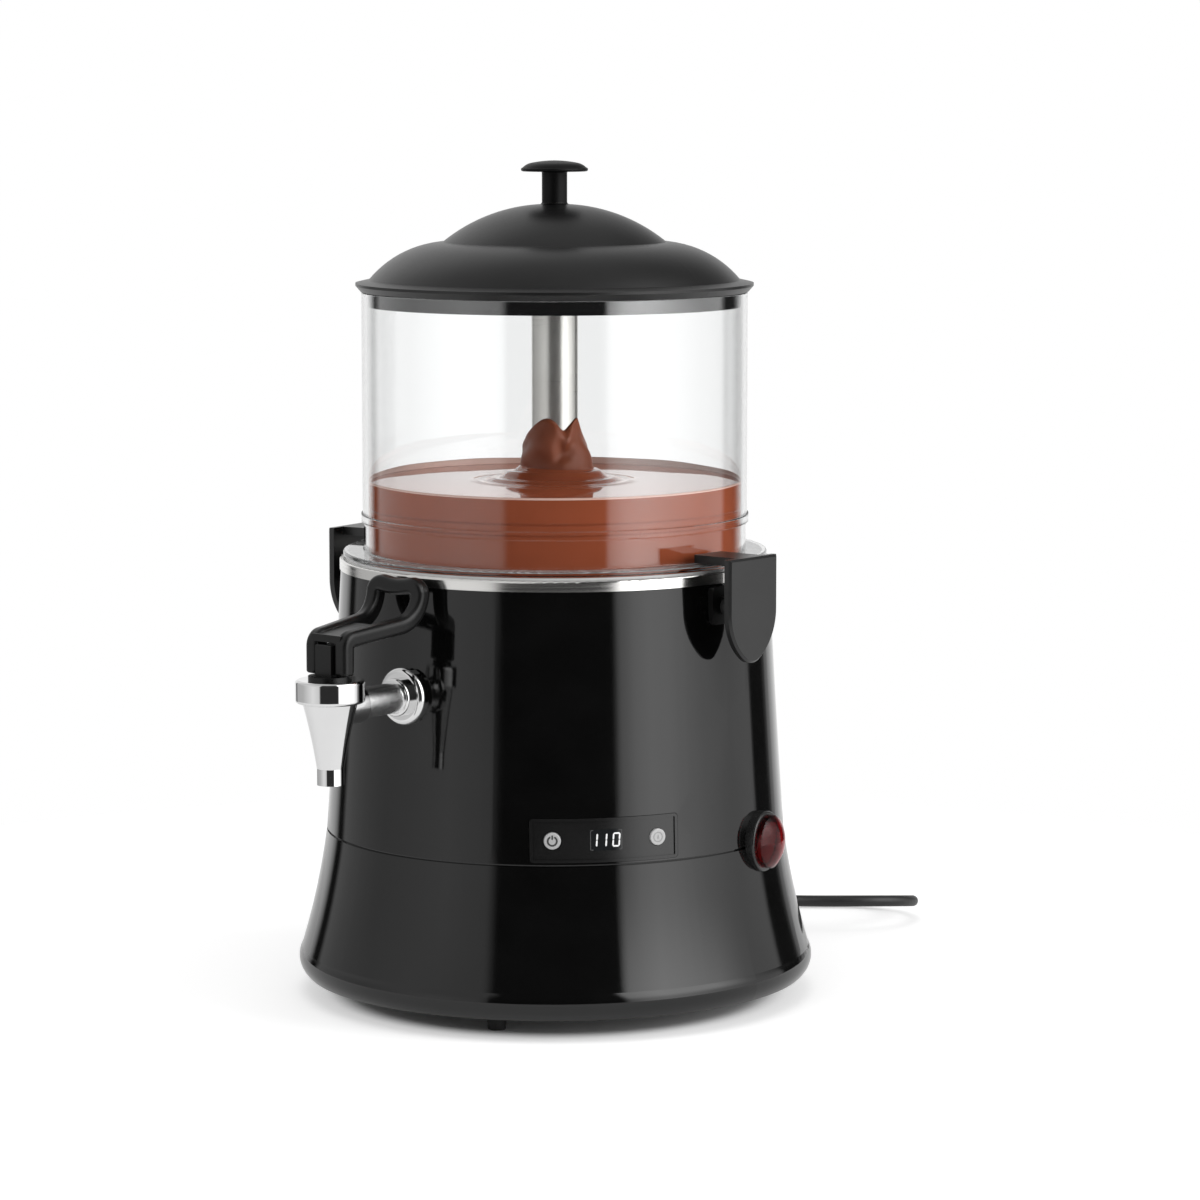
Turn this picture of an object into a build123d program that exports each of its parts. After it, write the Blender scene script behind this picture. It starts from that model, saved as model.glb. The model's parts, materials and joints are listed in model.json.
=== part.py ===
from build123d import *
import math
import os

# Hot chocolate dispenser: a heated black base with a tap and control panel, a clear
# bowl held by two clips, a domed lid, and a driven mixing column in the middle.
# Millimetres. Z is the bowl's axis, Z = 0 is the counter, and the tap points along -Y.
# Azimuths are degrees round Z, from the tap (0) towards +X (90).

os.makedirs("parts", exist_ok=True)

# Casing, as radius and height of its outer outline
wall = 3.0
rim_r, rim_z = 116.0, 232.0
waist_r, waist_z = 119.9, 160.0
seam_r, seam_z = 124.5, 90.0
flare_r, flare_z = 130.4, 56.5
bead_top_r, bead_top_z = 138.4, 26.0
bead_r, bead_z = 140.0, 19.5
lip_r, lip_z = 136.0, 11.5
shelf_r = 106.0
spigot_inner_r, spigot_outer_r, spigot_z = 112.0, 115.2, 237.0
lap_depth, lap_gap, lap_wall = 6.0, 0.3, 2.5
groove_depth, groove_height = 1.5, 1.2
ledge_r, ledge_z, ledge_thick = 123.0, 14.5, 2.5

# Base plate, its screws and the rubber feet
plate_r, plate_thick = 132.0, 3.0
boss_ring_r, boss_r, boss_top_z = 119.0, 5.0, 34.0
boss_azimuths = (30, 150, 210, 330)
screw_r, screw_head_r, screw_head_thick = 1.6, 3.4, 2.2
foot_ring_r, foot_r, foot_low_r, foot_stem_r = 107.0, 5.6, 4.7, 2.6
foot_azimuths = (24, 114, 204, 294)
vent_ring_r, vent_count, vent_length, vent_width = 62.0, 16, 34.0, 4.0

# Steel pan, boiler under it, heater and thermostat
steel = 1.0
pan_r, pan_floor_z, pan_corner_r = 98.0, 157.5, 3.5
band_r, band_low_z, band_high_z, band_round = 116.5, 232.2, 238.0, 1.2
boiler_r, boiler_floor_z = 91.0, 128.0
heater_ring_r, heater_tube_r, heater_z, heater_sweep = 58.0, 4.0, 137.0, 318.0
heater_leg_z = 116.0
thermostat_at, thermostat_r, thermostat_low_z = (-52.0, -30.0), 9.0, 118.0

# Stirring drive
pipe_inner_r, pipe_outer_r, pipe_low_z, pipe_high_z = 7.5, 9.0, 118.0, 356.0
bush_length, shaft_r, running_gap = 12.0, 4.0, 0.06
shaft_low_z, shaft_high_z, hex_z, hex_r = 107.0, 366.0, 357.0, 3.8
bracket_r, bracket_z, bracket_thick = 44.0, 112.0, 2.0
standoff_ring_r, standoff_r, standoff_count = 38.0, 4.0, 3
gearbox_r, gearbox_low_z = 33.0, 88.0
gearbox_boss_r, gearbox_boss_high_z, gearbox_bore_low_z = 8.0, 116.0, 106.0
motor_r, motor_low_z, motor_cap_r, motor_cap_low_z = 26.0, 48.0, 9.0, 43.0
motor_screw_ring_r, motor_screw_count = 26.0, 4
sleeve_inner_r, sleeve_outer_r, sleeve_low_z, sleeve_high_z = 11.4, 12.5, 163.0, 372.0
cap_low_z, cap_high_z, cap_socket_z = 358.0, 377.0, 366.5
hub_r, hub_low_z, hub_high_z = 16.5, 161.0, 186.0
blade_reach, blade_bow, blade_thick, blade_high_z = 80.0, 15.0, 3.0, 176.0

# Bowl and its seal
seal_inner_r, seal_outer_r, seal_thick = 101.2, 112.0, 1.2
bowl_inner_r, bowl_outer_r, bowl_low_r = 100.9, 103.9, 103.2
bowl_high_z, flange_r, flange_thick = 381.0, 114.6, 3.0
ridge_r, ridge_low_z, ridge_high_z, ridge_round = 104.7, 257.5, 262.0, 0.6

# Lid and knob
lid_wall = 2.5
crown_r, crown_z = 9.0, 427.6
dome_mid_r, dome_mid_z = 37.0, 421.2
crease_r, crease_z = 60.0, 407.6
shoulder_mid_r, shoulder_mid_z = 85.0, 400.0
shoulder_r, shoulder_z = 99.8, 387.4
brim_r, brim_high_z, brim_low_z = 107.0, 385.8, 384.4
seat_r, seat_z = 104.3, 381.3
skirt_inner_r, skirt_outer_r, skirt_low_z = 97.9, 100.3, 373.6
knob_r, knob_high_z, knob_edge_high_z, knob_edge_low_z = 18.0, 451.0, 447.2, 445.2
knob_turn_r, knob_turn_z = 12.6, 449.7
stem_r, stem_foot_r, neck_round, edge_round = 6.8, 8.2, 1.0, 0.9
knob_hole_r, knob_hole_z, knob_screw_head_r, knob_screw_head_thick = 2.0, 440.0, 4.5, 2.6

# Tap, on the front of the casing
tap_z, spout_y = 174.8, -176.5
shank_r, shank_bore_r, shank_end_y = 8.0, 5.5, -84.0
escutcheon_r, escutcheon_thick, escutcheon_hub_r, escutcheon_hub_thick = 15.2, 4.5, 10.0, 9.0
nut_r, nut_thick, washer_r, washer_thick = 14.0, 6.0, 11.6, 2.5
collar_r, collar_low_z, collar_high_z, collar_round = 18.0, 177.8, 189.8, 1.8
cone_r, tip_r, tip_z, outlet_z = 14.3, 7.1, 143.8, 135.3
chamber_r, throat_r, throat_high_z, throat_low_z = 9.8, 5.2, 169.8, 148.8
boss_reach = 20.0
bonnet_r, bonnet_ring_z, bonnet_plug_z = 11.2, 191.8, 185.8
tower_width, tower_depth, tower_z = 11.0, 10.0, 208.0
stem_rod_r, stem_high_z, stem_collar_r, stem_collar_z, stem_collar_thick = 2.5, 203.0, 7.0, 165.8, 2.0
cup_r, cup_low_r, cup_high_z, cup_low_z = 8.1, 5.6, 163.8, 152.3
spring_r, spring_wire_r, spring_low_z, spring_high_z, spring_turns = 5.4, 0.6, 167.85, 185.75, 5
lever_pin_z, lever_pin_r, lever_pin_length, lever_lift = 198.0, 1.6, 19.0, 2.6
lever_bar, lever_edge_round, fork_gap, heel_drop, heel_round = 8.6, 3.0, 0.3, 5.6, 1.5
lever_base_y, lever_back_y, lever_top_z = 0.3, 51.5, 239.0
loop_half, loop_dip = 15.6, 2.2
knee_z, elbow_z, knee_round, elbow_round, loop_round, dip_round = 210.6, 216.2, 5.0, 17.0, 5.0, 40.0
web_r, web_front_turn, web_back_turn, web_front_y, web_high_z = 11.8, 16, 35, -2.5, 213.0
web_end_y, web_end_low_z, web_end_high_z = 28.0, 211.6, 215.6

# Bowl clips
clip_azimuths = {"right": 90, "left": -82}
clip_face_r, clip_thick, clip_half, clip_edge_round = 137.0, 4.0, 20.0, 1.2
clip_high_z, clip_side_z, clip_tip_half, clip_tip_z = 247.2, 219.0, 6.0, 193.4
hook_half, hook_low_z, hook_tip_r = 11.0, 242.7, 105.8
clip_pin_r, clip_pin_z, pin_r, pin_length = 126.0, 221.0, 2.0, 21.0
ear_inner, ear_outer, ear_r = 5.6, 9.2, 4.4
bracket_half, bracket_height, clip_base_thick, knuckle_half, bracket_gap = 12.0, 20.0, 3.0, 5.2, 0.05

# Control panel, round the casing just above the seam
panel_azimuth, panel_z, panel_width, panel_height, panel_round = 53.1, 103.7, 79.0, 23.0, 2.0
panel_depth, panel_recess, panel_gap, panel_opening = 1.5, 0.4, 0.2, (70.0, 16.0)
panel_frame, panel_frame_proud = 1.6, 0.3
window_width, window_height = 17.5, 11.0
button_turn, button_r, button_hole_r, button_proud = 13.1, 4.4, 4.7, 1.0
button_flange_r, button_flange_thick, button_back, button_play, contact_half = 5.6, 1.2, 8.0, 1.3, 2.6
board_r, board_width, board_height, board_thick = 104.0, 66.0, 17.0, 1.6
post_turn, post_r = 30.0, 3.0

# Rocker switch under a clear boot
switch_azimuth, switch_z, switch_wall_r = 102.0, 92.0, 124.4
bezel_r, bezel_inner_r, bezel_proud, bezel_round, barrel_r, barrel_depth = 16.2, 12.4, 4.0, 1.2, 13.4, 20.0
rocker_r, rocker_floor, rocker_edge, rocker_dip, rocker_tilt = 11.3, -6.0, 1.6, 1.6, 8.0
rocker_pivot_depth, rocker_pivot_r, rocker_pivot_half = 3.0, 1.2, 13.4
boot_r, boot_wall, boot_rise, boot_side_rise = 14.2, 0.8, 8.5, 3.2

# Terminal block, mains lead, its coil, tie and plug
terminal_y, terminal_size = 92.0, (46.0, 22.0, 18.0)
cord_r, gland_z, gland_end_y, gland_wall_y = 3.25, 22.5, 160.0, 136.0
gland_flange_r, gland_flange_thick, gland_root_r, gland_tip_r, gland_inside = 7.9, 3.0, 6.6, 4.4, 12.0
floor_z = 4.05
cord_route = (
    (0, gland_end_y, gland_z),
    (0, 177, gland_z),
    (11.6, 202.5, 18.0),
    (53, 238, 18.2),
    (45.4, 279.2, 11.1),
    (6.2, 292.6, floor_z),
    (-38.6, 254, floor_z),
    (-89.3, 225.4, floor_z),
)
arc_share = 0.45
coil_r, coil_pitch, coil_half_turns, coil_layer = 48.6, 7.2, 5, 7.2
tie_width, tie_thick, tie_gap, tie_back = 12.0, 0.65, 0.05, 4.0
plug_lead, plug_neck, plug_entry_r, plug_axis_z, plug_body = 52.0, 24.0, 4.6, 18.7, 34.0
plug_body_r, plug_face_r, pin_spread, plug_pin_r, plug_pin_length = 16.0, 18.4, 19.0, 2.4, 19.0


def facing(azimuth, radius, height):
    """Upright plane looking outwards: x to the right as seen from outside, y up, z out."""
    turn = math.radians(azimuth)
    out = (math.sin(turn), -math.cos(turn), 0)
    across = (math.cos(turn), math.sin(turn), 0)
    return Plane(origin=(radius * out[0], radius * out[1], height), x_dir=across, z_dir=out)


def spot(azimuth, radius):
    """Plan position of an azimuth and a radius."""
    turn = math.radians(azimuth)
    return (radius * math.sin(turn), -radius * math.cos(turn))


def ring_section(inner, outer, low, high):
    """Rectangle of a ring's section, drawn in the open sketch on the XZ plane."""
    with Locations(((inner + outer) / 2, (low + high) / 2)):
        Rectangle(outer - inner, high - low)


def casing_core(inset):
    """Solid of revolution inside the casing's outer surface, drawn in by inset."""
    with BuildPart() as core:
        with BuildSketch(Plane.XZ):
            with BuildLine():
                Line((0, rim_z), (rim_r - inset, rim_z))
                ThreePointArc((rim_r - inset, rim_z), (waist_r - inset, waist_z), (seam_r - inset, seam_z))
                flared = (flare_r - inset, flare_z)
                bead_top = (bead_top_r - inset, bead_top_z)
                ThreePointArc((seam_r - inset, seam_z), flared, bead_top)
                ThreePointArc(bead_top, (bead_r - inset, bead_z), (lip_r - inset, lip_z))
                Polyline((lip_r - inset, lip_z), (0, lip_z), (0, rim_z))
            make_face()
        revolve(axis=Axis.Z)
    return core.part


casing_solid = casing_core(0)
bracket_back = casing_core(-bracket_gap)
panel_front = casing_core(panel_recess)
frame_front = casing_core(-panel_frame_proud)
panel_floor = casing_core(panel_recess + panel_depth)


# Upper housing: tapered shell, shelf and spigot for the steel pan, lap joint into the skirt
with BuildPart() as panel_pocket:
    with BuildSketch(facing(panel_azimuth, shelf_r, panel_z)):
        RectangleRounded(panel_width + 2 * panel_gap, panel_height + 2 * panel_gap, panel_round)
    extrude(amount=seam_r - shelf_r + wall)
    add(panel_floor, mode=Mode.SUBTRACT)

with BuildPart() as upper_housing:
    with BuildSketch(Plane.XZ):
        with BuildLine():
            outer = ThreePointArc((rim_r, rim_z), (waist_r, waist_z), (seam_r, seam_z))
            Line(outer @ 1, (seam_r - wall, seam_z))
            inner = ThreePointArc((seam_r - wall, seam_z), (waist_r - wall, waist_z), (rim_r - wall, rim_z))
            Line(inner @ 1, outer @ 0)
        make_face()
        ring_section(shelf_r, rim_r - wall / 2, rim_z - wall, rim_z)
        ring_section(spigot_inner_r, spigot_outer_r, rim_z - wall, spigot_z)
        lap_outer_r = seam_r - wall - lap_gap
        ring_section(lap_outer_r - lap_wall, lap_outer_r, seam_z - lap_depth, seam_z + wall)
        ring_section(lap_outer_r - lap_wall, seam_r - wall / 2, seam_z, seam_z + wall)
    revolve(axis=Axis.Z)
    with BuildSketch(Plane.XZ):
        ring_section(seam_r - groove_depth, seam_r + wall, seam_z, seam_z + groove_height)
    revolve(axis=Axis.Z, mode=Mode.SUBTRACT)
    with BuildSketch(facing(0, shelf_r, tap_z)):
        Circle(shank_r + lap_gap)
    extrude(amount=seam_r - shelf_r, mode=Mode.SUBTRACT)
    add(panel_pocket.part, mode=Mode.SUBTRACT)
    with BuildSketch(facing(panel_azimuth, shelf_r, panel_z)):
        Rectangle(*panel_opening)
    extrude(amount=seam_r - shelf_r + wall, mode=Mode.SUBTRACT)
    with BuildSketch(facing(panel_azimuth, board_r + board_thick, panel_z)):
        with Locations((-post_turn, board_height / 2 + post_r), (post_turn, board_height / 2 + post_r)):
            Circle(post_r)
    extrude(until=Until.NEXT)
    with BuildSketch(facing(switch_azimuth, shelf_r, switch_z)):
        Circle(barrel_r + lap_gap)
    extrude(amount=seam_r - shelf_r + wall, mode=Mode.SUBTRACT)
upper_housing.part.label = "upper_housing"
export_step(upper_housing.part, "parts/upper_housing.step")

# Base skirt: flared shell with a rolled bead, a ledge and screw bosses for the base plate
with BuildPart() as base_skirt:
    with BuildSketch(Plane.XZ):
        with BuildLine():
            flare = ThreePointArc((seam_r, seam_z), (flare_r, flare_z), (bead_top_r, bead_top_z))
            bead = ThreePointArc(flare @ 1, (bead_r, bead_z), (lip_r, lip_z))
            Line(bead @ 1, (lip_r - wall, lip_z))
            bead_inside = (bead_r - wall, bead_z)
            turn_in = ThreePointArc((lip_r - wall, lip_z), bead_inside, (bead_top_r - wall, bead_top_z))
            inside = ThreePointArc(turn_in @ 1, (flare_r - wall, flare_z), (seam_r - wall, seam_z))
            Line(inside @ 1, flare @ 0)
        make_face()
        ring_section(ledge_r, bead_r - wall, ledge_z, ledge_z + ledge_thick)
    revolve(axis=Axis.Z)
    with BuildSketch(Plane.XY.offset(ledge_z)):
        with Locations(*[spot(azimuth, boss_ring_r) for azimuth in boss_azimuths]):
            Circle(boss_r)
    extrude(amount=boss_top_z - ledge_z)
    with BuildSketch(Plane.XY.offset(ledge_z)):
        with Locations(*[spot(azimuth, boss_ring_r) for azimuth in boss_azimuths]):
            Circle(screw_r)
    extrude(amount=boss_top_z - ledge_z - wall, mode=Mode.SUBTRACT)
    with BuildSketch(facing(switch_azimuth, shelf_r, switch_z)):
        Circle(barrel_r + lap_gap)
    extrude(amount=seam_r - shelf_r + 2 * wall, mode=Mode.SUBTRACT)
    with BuildSketch(facing(180, shelf_r, gland_z)):
        Circle(gland_root_r)
    extrude(amount=bead_r - shelf_r + wall, mode=Mode.SUBTRACT)
base_skirt.part.label = "base_skirt"
export_step(base_skirt.part, "parts/base_skirt.step")

# Base plate with a ring of vent slots
with BuildPart() as base_plate:
    with BuildSketch(Plane.XY.offset(lip_z)):
        Circle(plate_r)
        with PolarLocations(vent_ring_r, vent_count):
            SlotOverall(vent_length, vent_width, mode=Mode.SUBTRACT)
        with Locations(*[spot(azimuth, boss_ring_r) for azimuth in boss_azimuths]):
            Circle(screw_r, mode=Mode.SUBTRACT)
        with Locations(*[spot(azimuth, foot_ring_r) for azimuth in foot_azimuths]):
            Circle(foot_stem_r, mode=Mode.SUBTRACT)
    extrude(amount=plate_thick)
base_plate.part.label = "base_plate"
export_step(base_plate.part, "parts/base_plate.step")

# Four rubber feet, each a tapered pad with a stem pressed through the plate
with BuildPart() as rubber_feet:
    for azimuth in foot_azimuths:
        foot_at = spot(azimuth, foot_ring_r)
        with BuildSketch(Plane.XY):
            with Locations(foot_at):
                Circle(foot_low_r)
        with BuildSketch(Plane.XY.offset(lip_z)):
            with Locations(foot_at):
                Circle(foot_r)
        loft()
        with BuildSketch(Plane.XY.offset(lip_z)):
            with Locations(foot_at):
                Circle(foot_stem_r)
        extrude(amount=plate_thick + 2 * wall)
rubber_feet.part.label = "rubber_feet"
export_step(rubber_feet.part, "parts/rubber_feet.step")

# Screws that hold the plate to the skirt
with BuildPart() as base_screws:
    with BuildSketch(Plane.XY.offset(lip_z - screw_head_thick)):
        with Locations(*[spot(azimuth, boss_ring_r) for azimuth in boss_azimuths]):
            Circle(screw_head_r)
    extrude(amount=screw_head_thick)
    with BuildSketch(Plane.XY.offset(lip_z)):
        with Locations(*[spot(azimuth, boss_ring_r) for azimuth in boss_azimuths]):
            Circle(screw_r)
    extrude(amount=boss_top_z - ledge_z - 2 * wall)
base_screws.part.label = "base_screws"
export_step(base_screws.part, "parts/base_screws.step")

# Food pan: drawn steel, with the bright band that shows round the top of the casing
with BuildPart() as food_pan:
    with BuildSketch(Plane.XZ):
        flat_r = pan_r - pan_corner_r
        wall_foot_z = pan_floor_z + pan_corner_r
        lip_in_r = pan_r + 2 * steel
        with BuildLine():
            Line((pipe_outer_r, pan_floor_z), (flat_r, pan_floor_z))
            RadiusArc((flat_r, pan_floor_z), (pan_r, wall_foot_z), -pan_corner_r)
            Line((pan_r, wall_foot_z), (pan_r, band_high_z - 2 * steel))
            RadiusArc((pan_r, band_high_z - 2 * steel), (lip_in_r, band_high_z), 2 * steel)
            Line((lip_in_r, band_high_z), (band_r - band_round, band_high_z))
            RadiusArc((band_r - band_round, band_high_z), (band_r, band_high_z - band_round), band_round)
            Polyline(
                (band_r, band_high_z - band_round),
                (band_r, band_low_z),
                (band_r - steel, band_low_z),
                (band_r - steel, band_high_z - steel),
                (pan_r + steel, band_high_z - steel),
                (pan_r + steel, wall_foot_z),
            )
            under = (flat_r, pan_floor_z - steel)
            RadiusArc((pan_r + steel, wall_foot_z), under, pan_corner_r + steel)
            Polyline(under, (pipe_outer_r, pan_floor_z - steel), (pipe_outer_r, pan_floor_z))
        make_face()
    revolve(axis=Axis.Z)
    with BuildSketch(facing(0, pan_r / 2, tap_z)):
        Circle(shank_r + lap_gap)
    extrude(amount=pan_r, mode=Mode.SUBTRACT)
food_pan.part.label = "food_pan"
export_step(food_pan.part, "parts/food_pan.step")

# Boiler: water dish welded under the pan's floor, with holes for the heater's legs
leg_azimuths = (180 - heater_sweep / 2, 180 + heater_sweep / 2)
with BuildPart() as boiler:
    with BuildSketch(Plane.XZ):
        ring_section(pipe_outer_r, boiler_r, boiler_floor_z, boiler_floor_z + steel)
        ring_section(boiler_r - steel, boiler_r, boiler_floor_z, pan_floor_z - steel)
    revolve(axis=Axis.Z)
    with BuildSketch(Plane.XY.offset(boiler_floor_z)):
        with Locations(*[spot(azimuth, heater_ring_r) for azimuth in leg_azimuths]):
            Circle(heater_tube_r)
    extrude(amount=steel, mode=Mode.SUBTRACT)
boiler.part.label = "boiler"
export_step(boiler.part, "parts/boiler.step")

# Heating element: open ring of tube with two legs down through the boiler's floor
with BuildPart() as heating_element:
    leg_plane = facing(leg_azimuths[0], 0, 0)
    with BuildSketch(Plane(origin=(0, 0, 0), x_dir=leg_plane.z_dir, z_dir=-leg_plane.x_dir)):
        with Locations((heater_ring_r, heater_z)):
            Circle(heater_tube_r)
    revolve(axis=Axis.Z, revolution_arc=heater_sweep)
    for azimuth in leg_azimuths:
        leg_at = spot(azimuth, heater_ring_r)
        with BuildSketch(Plane.XY.offset(heater_leg_z)):
            with Locations(leg_at):
                Circle(heater_tube_r)
        extrude(amount=heater_z - heater_leg_z)
        with Locations((*leg_at, heater_z)):
            Sphere(heater_tube_r)
heating_element.part.label = "heating_element"
export_step(heating_element.part, "parts/heating_element.step")

# Thermostat: stepped button held against the boiler's floor
with BuildPart() as thermostat:
    with BuildSketch(Plane.XY.offset(boiler_floor_z)):
        with Locations(thermostat_at):
            Circle(thermostat_r)
    extrude(amount=-wall)
    with BuildSketch(Plane.XY.offset(boiler_floor_z - wall)):
        with Locations(thermostat_at):
            Circle(thermostat_r - wall)
    extrude(amount=thermostat_low_z - boiler_floor_z + wall)
thermostat.part.label = "thermostat"
export_step(thermostat.part, "parts/thermostat.step")

# Standpipe that keeps the shaft dry, with a bush at each end
with BuildPart() as standpipe:
    with BuildSketch(Plane.XZ):
        ring_section(pipe_inner_r, pipe_outer_r, pipe_low_z, pipe_high_z)
    revolve(axis=Axis.Z)
standpipe.part.label = "standpipe"
export_step(standpipe.part, "parts/standpipe.step")

with BuildPart() as shaft_bushes:
    with BuildSketch(Plane.XZ):
        ring_section(shaft_r + running_gap, pipe_inner_r, pipe_low_z, pipe_low_z + bush_length)
        ring_section(shaft_r + running_gap, pipe_inner_r, pipe_high_z - bush_length, pipe_high_z)
    revolve(axis=Axis.Z)
shaft_bushes.part.label = "shaft_bushes"
export_step(shaft_bushes.part, "parts/shaft_bushes.step")

# Motor bracket on three standoffs below the boiler
with BuildPart() as motor_bracket:
    with BuildSketch(Plane.XY.offset(bracket_z)):
        Circle(bracket_r)
        Circle(gearbox_boss_r + lap_gap, mode=Mode.SUBTRACT)
        with PolarLocations(motor_screw_ring_r, motor_screw_count, start_angle=45):
            Circle(screw_r, mode=Mode.SUBTRACT)
    extrude(amount=bracket_thick)
    with BuildSketch(Plane.XY.offset(bracket_z + bracket_thick)):
        with PolarLocations(standoff_ring_r, standoff_count, start_angle=90):
            Circle(standoff_r)
    extrude(amount=boiler_floor_z - bracket_z - bracket_thick)
motor_bracket.part.label = "motor_bracket"
export_step(motor_bracket.part, "parts/motor_bracket.step")

# Gearbox with a hollow output boss, and the motor under it
with BuildPart() as gearbox:
    with BuildSketch(Plane.XZ):
        ring_section(0, gearbox_r, gearbox_low_z, bracket_z)
        ring_section(0, gearbox_boss_r, bracket_z, gearbox_boss_high_z)
    revolve(axis=Axis.Z)
    with BuildSketch(Plane.XY.offset(gearbox_bore_low_z)):
        Circle(shaft_r + running_gap)
    extrude(amount=gearbox_boss_high_z - gearbox_bore_low_z, mode=Mode.SUBTRACT)
    fillet(gearbox.edges().filter_by(GeomType.CIRCLE).group_by(Axis.Z)[0], wall)
    with BuildSketch(Plane.XY.offset(bracket_z)):
        with PolarLocations(motor_screw_ring_r, motor_screw_count, start_angle=45):
            Circle(screw_r)
    extrude(amount=-2 * wall, mode=Mode.SUBTRACT)
gearbox.part.label = "gearbox"
export_step(gearbox.part, "parts/gearbox.step")

with BuildPart() as drive_motor:
    with BuildSketch(Plane.XZ):
        ring_section(0, motor_r, motor_low_z, gearbox_low_z)
        ring_section(0, motor_cap_r, motor_cap_low_z, motor_low_z)
    revolve(axis=Axis.Z)
    wide_rims = drive_motor.edges().filter_by(GeomType.CIRCLE).group_by(SortBy.RADIUS)[-1]
    fillet(wide_rims.sort_by(Axis.Z)[0], wall)
drive_motor.part.label = "drive_motor"
export_step(drive_motor.part, "parts/drive_motor.step")

with BuildPart() as motor_screws:
    with BuildSketch(Plane.XY.offset(bracket_z + bracket_thick)):
        with PolarLocations(motor_screw_ring_r, motor_screw_count, start_angle=45):
            Circle(screw_head_r)
    extrude(amount=screw_head_thick)
    with BuildSketch(Plane.XY.offset(bracket_z + bracket_thick)):
        with PolarLocations(motor_screw_ring_r, motor_screw_count, start_angle=45):
            Circle(screw_r)
    extrude(amount=-bracket_thick - wall)
motor_screws.part.label = "motor_screws"
export_step(motor_screws.part, "parts/motor_screws.step")

# Drive shaft with a hexagon end that carries the mixer's cap
with BuildPart() as drive_shaft:
    with BuildSketch(Plane.XY.offset(shaft_low_z)):
        Circle(shaft_r)
    extrude(amount=hex_z - shaft_low_z)
    with BuildSketch(Plane.XY.offset(hex_z)):
        RegularPolygon(hex_r, 6)
    extrude(amount=shaft_high_z - hex_z)
drive_shaft.part.label = "drive_shaft"
export_step(drive_shaft.part, "parts/drive_shaft.step")

# Mixer: steel column, domed cap with a hexagon socket, and a bladed scraper at the foot
with BuildPart() as mixer_column:
    with BuildSketch(Plane.XZ):
        ring_section(sleeve_inner_r, sleeve_outer_r, sleeve_low_z, sleeve_high_z)
    revolve(axis=Axis.Z)
mixer_column.part.label = "mixer_column"
export_step(mixer_column.part, "parts/mixer_column.step")

with BuildPart() as mixer_cap:
    with BuildSketch(Plane.XZ):
        ring_section(0, sleeve_inner_r, cap_low_z, sleeve_high_z)
        ring_section(0, sleeve_outer_r, sleeve_high_z, cap_high_z)
    revolve(axis=Axis.Z)
    fillet(mixer_cap.edges().filter_by(GeomType.CIRCLE).sort_by(Axis.Z)[-1], wall)
    with BuildSketch(Plane.XY.offset(cap_low_z)):
        RegularPolygon(hex_r, 6)
    extrude(amount=cap_socket_z - cap_low_z, mode=Mode.SUBTRACT)
mixer_cap.part.label = "mixer_cap"
export_step(mixer_cap.part, "parts/mixer_cap.step")

with BuildPart() as blade:
    with BuildSketch(Plane.XY.offset(hub_low_z)):
        with BuildLine():
            ThreePointArc((hub_r - 1, 0), (blade_reach / 2, -blade_bow), (blade_reach, 0))
        trace(line_width=blade_thick)
    extrude(amount=blade_high_z - hub_low_z)

with BuildPart() as mixer_paddle:
    with BuildSketch(Plane.XZ):
        ring_section(sleeve_outer_r, hub_r, hub_low_z, hub_high_z)
    revolve(axis=Axis.Z)
    for turn in (0, 180):
        add(blade.part.rotate(Axis.Z, turn))
mixer_paddle.part.label = "mixer_paddle"
export_step(mixer_paddle.part, "parts/mixer_paddle.step")

# Bowl: clear wall with a moulded ridge and a foot flange, on a flat seal
flange_z = band_high_z + seal_thick
with BuildPart() as bowl_seal:
    with BuildSketch(Plane.XZ):
        ring_section(seal_inner_r, seal_outer_r, band_high_z, flange_z)
    revolve(axis=Axis.Z)
bowl_seal.part.label = "bowl_seal"
export_step(bowl_seal.part, "parts/bowl_seal.step")

with BuildPart() as bowl:
    with BuildSketch(Plane.XZ) as bowl_section:
        ring_section(bowl_inner_r, flange_r, flange_z, flange_z + flange_thick)
        ring_section(bowl_inner_r, bowl_low_r, flange_z, ridge_high_z)
        ring_section(bowl_inner_r, ridge_r, ridge_low_z, ridge_high_z)
        ring_section(bowl_inner_r, bowl_outer_r, ridge_high_z, bowl_high_z)
        corners = bowl_section.vertices()
        fillet(corners.group_by(Axis.Y)[-1], lap_gap * 3)
        fillet(bowl_section.vertices().sort_by(Axis.X)[-2:], wall / 3)
        ridge_corners = bowl_section.vertices().filter_by_position(Axis.X, ridge_r - 0.01, ridge_r + 0.01)
        fillet(ridge_corners, ridge_round)
    revolve(axis=Axis.Z)
bowl.part.label = "bowl"
export_step(bowl.part, "parts/bowl.step")

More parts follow.
